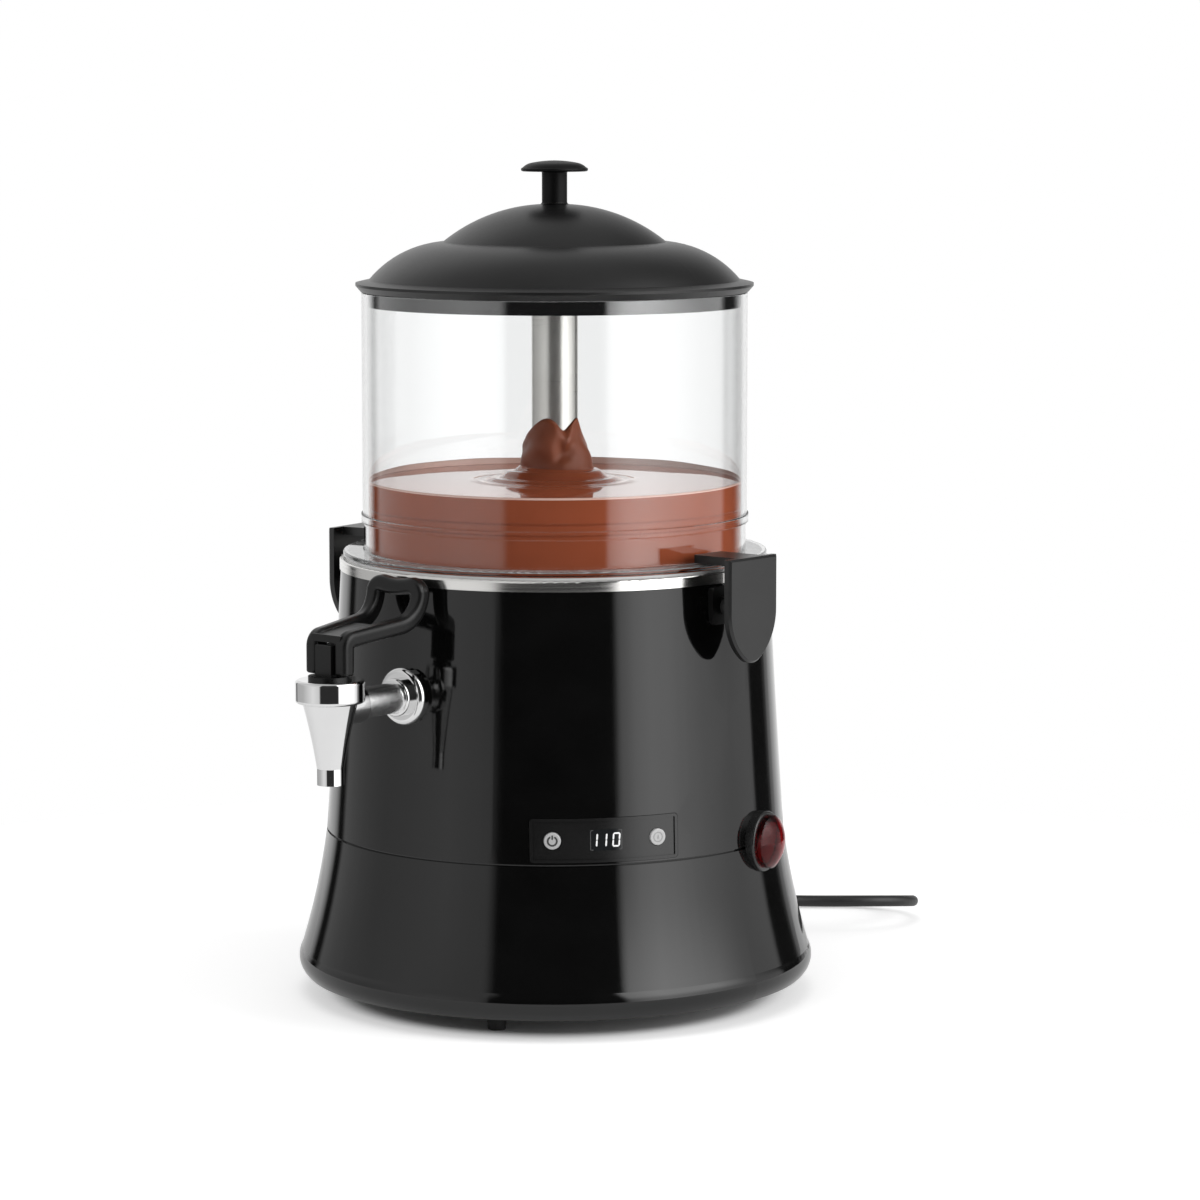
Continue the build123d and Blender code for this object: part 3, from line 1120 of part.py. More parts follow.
# Plug: moulded body lofted up from the cord, with two round pins
plug_steps = (
    (0, plug_entry_r, coil_end.Z),
    (plug_neck, plug_body_r, plug_axis_z),
    (plug_neck + plug_body, plug_face_r, plug_axis_z),
)
with BuildPart() as power_plug:
    for along, radius, height in plug_steps:
        step_at = coil_end + heading * along
        with BuildSketch(Plane(origin=(step_at.X, step_at.Y, height), z_dir=heading)):
            Circle(radius)
    loft(ruled=True)
    face_at = coil_end + heading * (plug_neck + plug_body)
    with BuildSketch(Plane(origin=(face_at.X, face_at.Y, plug_axis_z), x_dir=across, z_dir=heading)):
        with Locations((-pin_spread / 2, 0), (pin_spread / 2, 0)):
            Circle(plug_pin_r)
    extrude(amount=plug_pin_length)
power_plug.part.label = "power_plug"
export_step(power_plug.part, "parts/power_plug.step")
print("cord total length", round(cord_length + coil_length, 1))
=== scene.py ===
import json
import math

import bmesh
import bpy
from mathutils import Matrix, Vector


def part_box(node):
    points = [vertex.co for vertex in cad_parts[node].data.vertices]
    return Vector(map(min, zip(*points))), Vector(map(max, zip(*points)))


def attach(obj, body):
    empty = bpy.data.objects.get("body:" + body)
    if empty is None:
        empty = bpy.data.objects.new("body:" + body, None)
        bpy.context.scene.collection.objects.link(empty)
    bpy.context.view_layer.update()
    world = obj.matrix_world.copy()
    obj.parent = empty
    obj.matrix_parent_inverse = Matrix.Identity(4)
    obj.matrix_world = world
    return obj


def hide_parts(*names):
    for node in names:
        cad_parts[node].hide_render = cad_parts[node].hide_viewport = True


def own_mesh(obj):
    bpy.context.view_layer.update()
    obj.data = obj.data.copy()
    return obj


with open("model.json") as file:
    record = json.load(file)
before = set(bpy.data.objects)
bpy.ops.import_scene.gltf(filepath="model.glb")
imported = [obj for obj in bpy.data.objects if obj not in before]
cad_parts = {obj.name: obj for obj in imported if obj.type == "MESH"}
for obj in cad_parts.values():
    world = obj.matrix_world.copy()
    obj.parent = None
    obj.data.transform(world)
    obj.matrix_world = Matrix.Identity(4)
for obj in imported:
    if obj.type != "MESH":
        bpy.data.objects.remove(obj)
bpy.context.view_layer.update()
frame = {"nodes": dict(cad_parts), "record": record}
nodes = frame["nodes"]
scene = bpy.context.scene
scene.view_settings.view_transform = "Standard"

# Lengths are in metres, in the frame of the solids: +Z up, the tap along -Y
MM = 0.001

# Camera: turn about the bowl's axis, distance, height and aim of the photograph
camera_turn = math.radians(40.75)
camera_distance, camera_height = 2.260, 0.498
camera_pitch, camera_yaw = math.radians(7.17), math.radians(0.618)
camera_lens, camera_sensor, camera_near = 125.94, 36.0, 0.05
camera_azimuth = camera_turn - math.pi / 2

# Mains lead: the route of the solids, then the coil's half turns, in millimetres, and its length in metres
cord_radius, cord_fineness = 3.25, 6
cord_route = (
    (0, 160, 22.5),
    (0, 177, 22.5),
    (11.6, 202.5, 18.0),
    (53, 238, 18.2),
    (45.4, 279.2, 11.1),
    (6.2, 292.6, 4.05),
    (-38.6, 254, 4.05),
    (-89.3, 225.4, 4.05),
)
coil_radius, coil_pitch, coil_half_turns, coil_layer = 48.6, 7.2, 5, 7.2
coil_points_per_half, coil_swell = 8, 1 / 0.981
coil_lead, plug_lead = 6.5, 52.0

# Drink in the bowl, in millimetres
drink_low, drink_level = 200.0, 279.2
drink_lower_radius, drink_edge_radius, drink_upper_radius = 97.5, 99.8, 100.6
film_level, film_tilt, film_lip = 281.1, 1.6, 1.2
crease_levels, crease_depth, crease_half = (265.0, 259.2), 0.9, 0.55
drink_step_low, drink_step_high = 238.5, 239.5
drink_hole = 12.7
drink_segments = 240

# Waves of the wetted wall, as (height, count round the bowl, phase in radians)
film_waves = ((0.25, 5, 1.0), (0.15, 11, 0.0))

# Mound of drink on the column, by angle from the camera's side in degrees:
# peaks of its top, as (height, angle, width), and the side where its wall falls straighter
mound_low = 302.5
mound_peaks = ((11.0, -20, 50), (10.2, 68, 34), (6.0, 180, 60), (-2.5, 20, 12))
mound_fullness, mound_straight, mound_straight_at, mound_straight_width = 0.34, 0.6, 90, 60
mound_foot_radius, mound_foot_sway, mound_foot_level = 20.0, 1.1, 286.4
mound_skirt_reach, mound_skirt_bend = 52.0, 4.0
# Folds of its wall, as (depth, count round, twist and phase in radians), and creases, as (depth, angle at
# the top, turn down to the foot, width)
mound_folds = ((0.9, 3, 5.0, 0.0), (0.6, 5, -7.0, 1.0))
mound_creases = ((1.3, 18, -16, 9), (0.9, 62, -70, 14))
# Rings of folds round its foot, as (radius, height), and how far they wander off round
fold_rings, fold_half = ((25.0, 1.7), (33.2, 1.0), (42.0, 0.5)), 2.5
ring_sway, ring_sway_phase, ring_wobble, ring_wobble_length = 0.9, 0.7, 0.5, 9

# Bowl, as its solid: radii and heights of the wall, the ridge and the foot flange, in millimetres
bowl_inner, bowl_outer, bowl_lower, bowl_ridge, bowl_flange = 100.9, 103.9, 103.2, 104.7, 114.6
flange_high, ridge_low, ridge_high = 242.2, 257.5, 262.0
edge_round, root_round, round_steps, round_guard = 0.8, 0.4, 5, 0.4
bowl_segments = 320

# Closing spring in the tap, in millimetres
spring_axis_y, spring_radius, spring_wire, spring_turns = -176.5, 5.4, 0.6, 5
spring_steps, spring_sides = 48, 10

# Panel: azimuth, height and front radius of its plate, and the signs on it, in millimetres and degrees
panel_azimuth, panel_height, panel_radius, button_turn = 53.1, 103.7, 123.2, 13.1
digit_width, digit_height, digit_bar, digit_slant = 3.3, 6.6, 0.85, 0.08
digit_places = (("1", -6.6), ("1", -1.6), ("0", 5.4))
mark_proud, mark_sunk = 0.08, 0.10
window_width, window_height, window_line = 17.5, 11.0, 0.45
power_ring, power_opening, power_bar, power_bar_width = (1.9, 2.8), 50, ((0, 0.6), (0, 3.2)), 0.8
heat_ring, heat_bar, heat_bar_width = (2.2, 2.7), ((0, -1.2), (0, 1.2)), 0.7

# Lid: the height in millimetres up to which it is glossy, and the gloss and satin of its two parts
lid_skirt_high, lid_skirt_rough, lid_dome_share = 381.0, 0.06, 0.85
lid_coat_rough, lid_coat_ior = 0.03, 1.9


def out_direction(azimuth):
    """Unit vector away from the bowl's axis, with azimuth 0 on the tap's side."""
    turn = math.radians(azimuth)
    return Vector((math.sin(turn), -math.cos(turn), 0))


def mesh_object(name, points, faces, smooth=True):
    """A new mesh piece from its points and faces."""
    mesh = bpy.data.meshes.new(name)
    mesh.from_pydata(points, [], faces)
    mesh.validate()
    if smooth:
        mesh.shade_smooth()
    piece = bpy.data.objects.new(name, mesh)
    scene.collection.objects.link(piece)
    return piece


# Shader helpers

NOISE_LOW, NOISE_HIGH = 0.3, 0.7
CLEAR_EDGE_FROM, SMEAR_SCALE = 0.64, 60.0


def add_node(tree, kind, **settings):
    """A new shader node with its properties set."""
    node = tree.nodes.new(kind)
    for name, value in settings.items():
        setattr(node, name, value)
    return node


def math_node(tree, operation, first, second=None, third=None):
    """A Math node whose inputs are sockets or plain numbers."""
    node = add_node(tree, "ShaderNodeMath", operation=operation)
    for index, value in enumerate((first, second, third)):
        if value is None:
            continue
        if isinstance(value, (int, float)):
            node.inputs[index].default_value = value
        else:
            tree.links.new(value, node.inputs[index])
    return node.outputs[0]


def object_space(tree, stretch):
    """Object coordinates, stretched along each axis."""
    coordinates = add_node(tree, "ShaderNodeTexCoord")
    mapping = add_node(tree, "ShaderNodeMapping")
    mapping.inputs["Scale"].default_value = stretch
    tree.links.new(coordinates.outputs["Object"], mapping.inputs["Vector"])
    return mapping.outputs["Vector"]


def noise(tree, scale, detail=3.0, stretch=(1, 1, 1)):
    """Noise over the object's own coordinates."""
    texture = add_node(tree, "ShaderNodeTexNoise")
    texture.inputs["Scale"].default_value = scale
    texture.inputs["Detail"].default_value = detail
    tree.links.new(object_space(tree, stretch), texture.inputs["Vector"])
    return texture.outputs["Fac"]


def spread(tree, value, low, high):
    """A noise value mapped to the range from low to high."""
    ranged = add_node(tree, "ShaderNodeMapRange")
    ranged.inputs["From Min"].default_value = NOISE_LOW
    ranged.inputs["From Max"].default_value = NOISE_HIGH
    ranged.inputs["To Min"].default_value = low
    ranged.inputs["To Max"].default_value = high
    tree.links.new(value, ranged.inputs["Value"])
    return ranged.outputs["Result"]


def tint(tree, value, dark, light):
    """A colour between dark and light, chosen by a noise value."""
    ramp = add_node(tree, "ShaderNodeValToRGB")
    ramp.color_ramp.elements[0].position = NOISE_LOW
    ramp.color_ramp.elements[0].color = (*dark, 1)
    ramp.color_ramp.elements[1].position = NOISE_HIGH
    ramp.color_ramp.elements[1].color = (*light, 1)
    tree.links.new(value, ramp.inputs["Fac"])
    return ramp.outputs["Color"]


def bump(tree, value, strength, distance):
    """A bumped normal from a noise value."""
    node = add_node(tree, "ShaderNodeBump")
    node.inputs["Strength"].default_value = strength
    node.inputs["Distance"].default_value = distance
    tree.links.new(value, node.inputs["Height"])
    return node.outputs["Normal"]


def finish(
    name, dark, light, rough, grain, metallic=0.0, specular=0.5, stretch=(1, 1, 1), patch=40.0, glow=0.0
):
    """A procedural finish: patchy colour, varied roughness and a fine bumped grain.

    rough is the lowest and highest roughness, and grain the bump's scale, strength and depth. stretch draws
    the grain out along an axis, patch is the scale of the colour's clouds, and glow is its own light.
    """
    material = bpy.data.materials.new(name)
    material.use_nodes = True
    tree = material.node_tree
    shader = tree.nodes["Principled BSDF"]
    shader.inputs["Metallic"].default_value = metallic
    shader.inputs["Specular IOR Level"].default_value = specular
    shader.inputs["Emission Color"].default_value = (*light, 1)
    shader.inputs["Emission Strength"].default_value = glow
    grain_scale, grain_strength, grain_depth = grain
    cloud = noise(tree, patch)
    fine = noise(tree, grain_scale, stretch=stretch)
    tree.links.new(tint(tree, cloud, dark, light), shader.inputs["Base Color"])
    tree.links.new(spread(tree, fine, *rough), shader.inputs["Roughness"])
    tree.links.new(bump(tree, fine, grain_strength, grain_depth), shader.inputs["Normal"])
    return material


def clear_finish(name, colour, edge, rough, ior):
    """Clear plastic, darker where it is seen edge on, that lets the lamps' light through."""
    material = bpy.data.materials.new(name)
    material.use_nodes = True
    tree = material.node_tree
    shader = tree.nodes["Principled BSDF"]
    facing = add_node(tree, "ShaderNodeLayerWeight")
    ramp = add_node(tree, "ShaderNodeValToRGB")
    ramp.color_ramp.elements[0].position = CLEAR_EDGE_FROM
    ramp.color_ramp.elements[0].color = (*colour, 1)
    ramp.color_ramp.elements[1].color = (*edge, 1)
    tree.links.new(facing.outputs["Facing"], ramp.inputs["Fac"])
    tree.links.new(ramp.outputs["Color"], shader.inputs["Base Color"])
    shader.inputs["Transmission Weight"].default_value = 1.0
    shader.inputs["IOR"].default_value = ior
    smear = noise(tree, SMEAR_SCALE)
    tree.links.new(spread(tree, smear, *rough), shader.inputs["Roughness"])
    path = add_node(tree, "ShaderNodeLightPath")
    clear = add_node(tree, "ShaderNodeBsdfTransparent")
    clear.inputs["Color"].default_value = (*colour, 1)
    mix = add_node(tree, "ShaderNodeMixShader")
    tree.links.new(path.outputs["Is Shadow Ray"], mix.inputs["Fac"])
    tree.links.new(shader.outputs["BSDF"], mix.inputs[1])
    tree.links.new(clear.outputs["BSDF"], mix.inputs[2])
    tree.links.new(mix.outputs["Shader"], tree.nodes["Material Output"].inputs["Surface"])
    return material


def grey(level):
    """A neutral colour."""
    return (level, level, level)


def lid_finish(name, skirt_high):
    """The lid's black: satin on the dome and glossy on the skirt, below a height."""
    material = finish(name, grey(0.003), grey(0.005), (0.32, 0.38), SATIN_SKIN, specular=0.45)
    tree = material.node_tree
    shader = tree.nodes["Principled BSDF"]
    shader.inputs["Coat Roughness"].default_value = lid_coat_rough
    shader.inputs["Coat IOR"].default_value = lid_coat_ior
    roughness = shader.inputs["Roughness"]
    satin = roughness.links[0].from_socket
    split = add_node(tree, "ShaderNodeSeparateXYZ")
    tree.links.new(object_space(tree, (1, 1, 1)), split.inputs["Vector"])
    dome = math_node(tree, "GREATER_THAN", split.outputs["Z"], skirt_high)
    tree.links.new(math_node(tree, "SUBTRACT", 1.0, dome), shader.inputs["Coat Weight"])
    share = math_node(tree, "MULTIPLY", dome, lid_dome_share)
    tree.links.new(math_node(tree, "MULTIPLY_ADD", satin, share, lid_skirt_rough), roughness)
    return material


FINE_SKIN = (900.0, 0.02, 0.0002)
SATIN_SKIN = (1400.0, 0.08, 0.0002)
RUBBER_SKIN = (700.0, 0.15, 0.0004)
CHROME_SKIN = (500.0, 0.01, 0.0002)
SHANK_SKIN = (500.0, 0.004, 0.0002)
CAST_SKIN = (300.0, 0.15, 0.0004)
PAN_BRUSH = (1.0, 0.02, 0.0002)
COLUMN_BRUSH = (1.0, 0.004, 0.0002)
BRUSH_ROUND = (9, 9, 1400)

finishes = {
    "housing_black": finish("housing_black", grey(0.0018), grey(0.0030), (0.05, 0.09), FINE_SKIN),
    "base_grey": finish("base_grey", grey(0.022), grey(0.028), (0.5, 0.6), SATIN_SKIN),
    "lid_black": finish("lid_black", grey(0.006), grey(0.009), (0.38, 0.46), SATIN_SKIN, specular=0.4),
    "clip_black": finish("clip_black", grey(0.007), grey(0.010), (0.30, 0.38), SATIN_SKIN),
    "lever_black": finish("lever_black", grey(0.004), grey(0.006), (0.30, 0.36), SATIN_SKIN, specular=0.3),
    "bowl_clear": clear_finish("bowl_clear", (0.985, 0.99, 0.99), grey(0.38), (0.0, 0.015), 1.46),
    "boot_clear": clear_finish("boot_clear", (0.42, 0.05, 0.06), (0.22, 0.015, 0.02), (0.02, 0.04), 1.30),
    "pan_steel": finish(
        "pan_steel",
        dark=(0.74, 0.73, 0.71),
        light=(0.80, 0.79, 0.77),
        rough=(0.14, 0.22),
        grain=PAN_BRUSH,
        metallic=1.0,
        stretch=BRUSH_ROUND,
    ),
    "column_steel": finish(
        "column_steel",
        dark=(0.68, 0.67, 0.64),
        light=(0.75, 0.74, 0.71),
        rough=(0.27, 0.32),
        grain=COLUMN_BRUSH,
        metallic=1.0,
        stretch=BRUSH_ROUND,
    ),
    "tap_chrome": finish("tap_chrome", grey(0.74), grey(0.78), (0.02, 0.05), CHROME_SKIN, 1.0),
    "seal_silicone": finish("seal_silicone", grey(0.70), grey(0.76), (0.4, 0.5), RUBBER_SKIN),
    "foot_rubber": finish("foot_rubber", grey(0.012), grey(0.018), (0.6, 0.75), RUBBER_SKIN),
    "cup_silicone": finish("cup_silicone", grey(0.66), grey(0.72), (0.4, 0.5), RUBBER_SKIN),
    "spring_steel": finish("spring_steel", grey(0.55), grey(0.62), (0.2, 0.3), SATIN_SKIN, 1.0),
    "heater_steel": finish(
        "heater_steel", (0.30, 0.29, 0.28), (0.38, 0.37, 0.35), (0.4, 0.5), SATIN_SKIN, 1.0
    ),
    "motor_metal": finish("motor_metal", grey(0.16), grey(0.20), (0.35, 0.45), SATIN_SKIN, 0.6),
    "gearbox_metal": finish("gearbox_metal", grey(0.46), grey(0.54), (0.4, 0.55), CAST_SKIN, 1.0),
    "paddle_plastic": finish(
        "paddle_plastic", (0.80, 0.79, 0.74), (0.85, 0.84, 0.79), (0.35, 0.45), SATIN_SKIN
    ),
    "cap_black": finish("cap_black", grey(0.018), grey(0.024), (0.35, 0.45), SATIN_SKIN),
    "panel_black": finish("panel_black", grey(0.006), grey(0.009), (0.20, 0.26), SATIN_SKIN, specular=0.45),
    "display_dark": finish(
        "display_dark", (0.010, 0.011, 0.012), (0.014, 0.015, 0.016), (0.05, 0.09), FINE_SKIN
    ),
    "button_grey": finish("button_grey", grey(0.42), grey(0.50), (0.25, 0.35), SATIN_SKIN),
    "board_green": finish("board_green", (0.02, 0.13, 0.06), (0.03, 0.17, 0.08), (0.35, 0.5), SATIN_SKIN),
    "bezel_black": finish("bezel_black", grey(0.010), grey(0.014), (0.22, 0.30), SATIN_SKIN),
    "rocker_red": finish("rocker_red", (0.13, 0.005, 0.008), (0.17, 0.008, 0.011), (0.12, 0.18), FINE_SKIN),
    "terminal_white": finish("terminal_white", grey(0.72), grey(0.78), (0.45, 0.55), SATIN_SKIN),
    "screw_steel": finish("screw_steel", grey(0.46), grey(0.54), (0.25, 0.35), SATIN_SKIN, 1.0),
    "cord_black": finish("cord_black", grey(0.006), grey(0.009), (0.42, 0.52), RUBBER_SKIN),
    "pin_steel": finish("pin_steel", grey(0.06), grey(0.09), (0.3, 0.4), SATIN_SKIN, 1.0),
}

# A few nodes have a finish of their own within their slot
own_finishes = {
    "lid": lid_finish("lid_two_tone", lid_skirt_high * MM),
    "lid_knob": finish("knob_black", grey(0.002), grey(0.004), (0.40, 0.48), SATIN_SKIN, specular=0.15),
    # The clip brackets take the lever's darker, duller black so that they sink into the shade between clip
    # and casing: painted shade
    "clip_bracket_left": finishes["lever_black"],
    "clip_bracket_right": finishes["lever_black"],
    "tap_shank": finish("shank_satin", grey(0.94), grey(0.97), (0.22, 0.26), SHANK_SKIN, 1.0),
}

# Every other node of the solids takes the finish of its slot
for subpart in frame["record"]["subparts"]:
    node = nodes[subpart["node"]]
    for slot in node.material_slots:
        slot.material = own_finishes.get(subpart["node"], finishes[subpart["material_slot"]])


# Mains lead


def coil_points():
    """Control points of the coil: it spirals in, climbs a layer and spirals out again."""
    heading = (Vector(cord_route[-1]) - Vector(cord_route[-2])).normalized()
    across = Vector((heading.y, -heading.x, 0))
    at = Vector(cord_route[-1]) + heading * coil_lead
    points = []
    side, radius = 1, coil_radius
    for half in range(2 * coil_half_turns):
        climb = coil_layer if half == coil_half_turns else 0
        centre = at + across * (side * radius)
        for step in range(coil_points_per_half):
            share = (step + 0.5) / coil_points_per_half
            turn = math.pi * share
            reach = radius * coil_swell
            along = (heading * math.sin(turn) - across * math.cos(turn)) * side
            points.append(centre + reach * along + Vector((0, 0, climb * share)))
        at = centre + across * (side * radius) + Vector((0, 0, climb))
        radius += -coil_pitch / 2 if half < coil_half_turns else coil_pitch / 2
        side = -side
    return [*points, *(at + heading * lead for lead in (coil_lead, plug_lead - coil_lead, plug_lead))]


def make_cord():
    """The mains lead as one smooth line from the gland to the plug."""
    points = [Vector(point) for point in cord_route] + coil_points()
    curve = bpy.data.curves.new("mains_lead", "CURVE")
    curve.dimensions = "3D"
    curve.bevel_depth = cord_radius * MM
    curve.bevel_resolution = cord_fineness
    curve.resolution_u = cord_fineness
    spline = curve.splines.new("NURBS")
    spline.points.add(len(points) - 1)
    for control, point in zip(spline.points, points):
        control.co = (*(point * MM), 1)
    spline.order_u = 3
    spline.use_endpoint_u = True
    lead = bpy.data.objects.new("mains_lead", curve)
    scene.collection.objects.link(lead)
    curve.materials.append(finishes["cord_black"])
    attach(lead, "base")
    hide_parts("power_cord", "cord_coil")


make_cord()


# Bowl and spring: fine meshes in the place of their solids


def rounded_outline(corners):
    """A closed outline from corners of (radius, height, rounding), each rounded between two guard points."""
    outline = []
    for index, (*corner, rounding) in enumerate(corners):
        at = Vector(corner)
        before, after = Vector(corners[index - 1][:2]), Vector(corners[(index + 1) % len(corners)][:2])
        back, forth = (before - at).normalized(), (after - at).normalized()
        middle = at + (back + forth) * rounding
        outline.append(at + back * (rounding + round_guard))
        for step in range(round_steps + 1):
            turn = math.pi / 2 * step / round_steps
            outline.append(middle - (forth * math.cos(turn) + back * math.sin(turn)) * rounding)
        outline.append(at + forth * (rounding + round_guard))
    return outline


def face_outward(piece):
    """Turn every face of a closed mesh outward."""
    form = bmesh.new()
    form.from_mesh(piece.data)
    bmesh.ops.recalc_face_normals(form, faces=form.faces)
    form.to_mesh(piece.data)
    form.free()


def make_bowl():
    """The clear bowl, turned round its axis: wall, moulded ridge and foot flange."""
    lowest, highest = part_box("bowl")
    low, high = lowest[2] / MM, highest[2] / MM
    outline = rounded_outline(
        (
            (bowl_inner, low, root_round),
            (bowl_flange, low, edge_round),
            (bowl_flange, flange_high, edge_round),
            (bowl_lower, flange_high, edge_round),
            (bowl_lower, ridge_low, root_round),
            (bowl_ridge, ridge_low, root_round),
            (bowl_ridge, ridge_high, root_round),
            (bowl_outer, ridge_high, root_round / 2),
            (bowl_outer, high, root_round),
            (bowl_inner, high, root_round),
        )
    )
    count, ring = bowl_segments, len(outline)
    points, faces = [], []
    for segment in range(count):
        turn = 2 * math.pi * segment / count
        points += [(p.x * MM * math.cos(turn), p.x * MM * math.sin(turn), p.y * MM) for p in outline]
        here, there = segment * ring, (segment + 1) % count * ring
        pairs = [(step, (step + 1) % ring) for step in range(ring)]
        faces += [(here + a, here + b, there + b, there + a) for a, b in pairs]
    wall = mesh_object("bowl_wall", points, faces)
    face_outward(wall)
    wall.data.materials.append(finishes["bowl_clear"])
    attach(wall, "base")
    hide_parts("bowl")


def make_spring():
    """The tap's closing spring, as a coil of round wire in the place of its solid."""
    lowest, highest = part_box("tap_spring")
    low, high = lowest[2] / MM, highest[2] / MM
    steps = spring_turns * spring_steps
    points, faces = [], []
    for step in range(steps + 1):
        turn = 2 * math.pi * spring_turns * step / steps
        out = Vector((math.cos(turn), math.sin(turn), 0))
        level = low + spring_wire + (high - low - 2 * spring_wire) * step / steps
        centre = Vector((0, spring_axis_y, level)) + out * spring_radius
        for side in range(spring_sides):
            round_turn = 2 * math.pi * side / spring_sides
            offset = out * math.cos(round_turn) + Vector((0, 0, math.sin(round_turn)))
            points.append((centre + offset * spring_wire) * MM)
    for step in range(steps):
        here, there = step * spring_sides, (step + 1) * spring_sides
        pairs = [(side, (side + 1) % spring_sides) for side in range(spring_sides)]
        faces += [(here + a, here + b, there + b, there + a) for a, b in pairs]
    faces.append(tuple(range(spring_sides)))
    faces.append(tuple(range(steps * spring_sides, (steps + 1) * spring_sides)))
    spring = mesh_object("tap_coil_spring", points, faces)
    face_outward(spring)
    spring.data.materials.append(finishes["spring_steel"])
    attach(spring, "base")
    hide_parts("tap_spring")
    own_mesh(spring)


make_bowl()
make_spring()


# Drink: a closed ring round the column, with a folded mound and ripples


def swell(angle, centre, width):
    """A smooth hump at an angle, from its centre and width in degrees."""
    away = (angle - centre + 180) % 360 - 180
    return math.exp(-((away / width) ** 2))


def mound_top(angle):
    """Height of the drink on the column, by angle from the camera's side."""
    return mound_low + sum(height * swell(angle, at, width) for height, at, width in mound_peaks)


def mound_radius(angle, fall):
    """Radius of the mound's wall, from 0 at its top to 1 at its foot."""
    turn = math.radians(angle)
    straight = mound_straight * swell(angle, mound_straight_at, mound_straight_width)
    foot = mound_foot_radius + mound_foot_sway * math.sin(turn)
    reach = drink_hole + (foot - drink_hole) * fall ** (mound_fullness + straight)
    belly = math.sin(math.pi * fall)
    folds = sum(
        depth * math.sin(count * turn + twist * fall + phase) for depth, count, twist, phase in mound_folds
    )
    creases = sum(
        depth * swell(angle, start + run * fall, width) for depth, start, run, width in mound_creases
    )
    return reach + belly * (folds - creases)


def ripple(radius, angle):
    """Height of the surface above the drink's level: a skirt round the mound, in soft folds."""
    inward = max(0.0, 1 - (radius - mound_foot_radius) / (mound_skirt_reach - mound_foot_radius))
    skirt = (mound_foot_level - drink_level) * inward**mound_skirt_bend
    turn = math.radians(angle)
    sway = ring_sway * math.sin(turn + ring_sway_phase)
    wander = sway + ring_wobble * math.sin(2 * turn + radius / ring_wobble_length)
    away = [(radius + wander - ring) / fold_half for ring, _ in fold_rings]
    folds = sum(height * math.exp(-(gap**2)) for gap, (_, height) in zip(away, fold_rings))
    return skirt + folds


def film_top(angle):
    """Height to which the drink has wetted the wall, higher at the back."""
    turn = math.radians(angle)
    waves = sum(height * math.sin(count * turn + phase) for height, count, phase in film_waves)
    return film_level - film_tilt * math.cos(turn) + waves * (1 - math.cos(turn)) / 2


def wall_radius(height):
    """Radius of the drink's side, creased behind the edges of the bowl's ridge."""
    creases = sum(math.exp(-(((height - level) / crease_half) ** 2)) for level in crease_levels)
    return drink_upper_radius - crease_depth * creases


def drink_profile(angle):
    """Closed outline of the drink at one angle, as (radius, height, material) from the mound round."""
    mound, surface, film, wall = range(4)
    mound_steps, surface_steps, film_steps, wall_steps, inner_steps = 36, 90, 6, 90, 8
    top, brink = mound_top(angle), film_top(angle)
    foot_radius = mound_radius(angle, 1.0)
    foot_level = drink_level + ripple(foot_radius, angle)
    outline = []
    for step in range(mound_steps):
        fall = step / mound_steps
        outline.append((mound_radius(angle, fall), top + (foot_level - top) * fall, mound))
    for step in range(surface_steps):
        radius = foot_radius + (drink_edge_radius - foot_radius) * step / surface_steps
        outline.append((radius, drink_level + ripple(radius, angle), surface))
    for step in range(film_steps):
        share = step / film_steps
        radius = drink_edge_radius + (drink_upper_radius - drink_edge_radius) * share**0.5
        outline.append((radius, drink_level + (brink - drink_level) * share, film))
    outline.append((drink_upper_radius, brink, film))
    lip = brink - film_lip
    for step in range(wall_steps + 1):
        height = lip + (drink_step_high - lip) * step / wall_steps
        outline.append((wall_radius(height), height, wall))
    for step in range(inner_steps + 1):
        height = drink_step_low + (drink_low - drink_step_low) * step / inner_steps
        outline.append((drink_lower_radius, height, wall))
    for step in range(inner_steps):
        outline.append((drink_hole, drink_low + (top - drink_low) * step / inner_steps, wall))
    return outline


def make_drink():
    """The drink's mesh, swept round the column, with a duller mound and wall than its surface; the mound's
    darker colour is painted shade, and the pale film at the rim is partly a painted highlight.
    """
    points, faces, kinds = [], [], []
    for segment in range(drink_segments):
        angle = 360 * segment / drink_segments
        turn = math.radians(angle) + camera_azimuth
        profile = drink_profile(angle)
        ring = len(profile)
        points += [(r * MM * math.cos(turn), r * MM * math.sin(turn), z * MM) for r, z, _ in profile]
    for segment in range(drink_segments):
        here, there = segment * ring, ((segment + 1) % drink_segments) * ring
        for step in range(ring):
            after = (step + 1) % ring
            faces.append((here + step, here + after, there + after, there + step))
            kinds.append(profile[step][2])
    drink = mesh_object("drink_fill", points, faces)
    dark, light, skin = (0.32, 0.078, 0.034), (0.36, 0.090, 0.041), (150.0, 0.03, 0.0005)
    # The mound takes a darker copy of the drink's colour: painted shade
    mound_shade_dark, mound_shade_light = (0.19, 0.050, 0.022), (0.23, 0.061, 0.027)
    # The wetted film's pale pink is partly the thin film over the glass and partly a painted highlight along
    # the drink's top edge
    film_and_sheen_dark, film_and_sheen_light = (0.80, 0.52, 0.44), (0.86, 0.58, 0.50)
    for material in (
        finish("drink_mound_shaded", mound_shade_dark, mound_shade_light, (0.36, 0.46), skin, specular=0.4),
        finish("drink_surface", dark, light, (0.03, 0.05), skin, specular=0.6),
        finish("drink_film_and_sheen", film_and_sheen_dark, film_and_sheen_light, (0.2, 0.3), skin, specular=0.2),
        finish("drink_wall", dark, light, (0.05, 0.09), skin, specular=0.1),
    ):
        drink.data.materials.append(material)
    for polygon, kind in zip(drink.data.polygons, kinds):
        polygon.material_index = kind
    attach(drink, "base")


make_drink()


# Signs: digits on the display, and a ring and a bar on each button


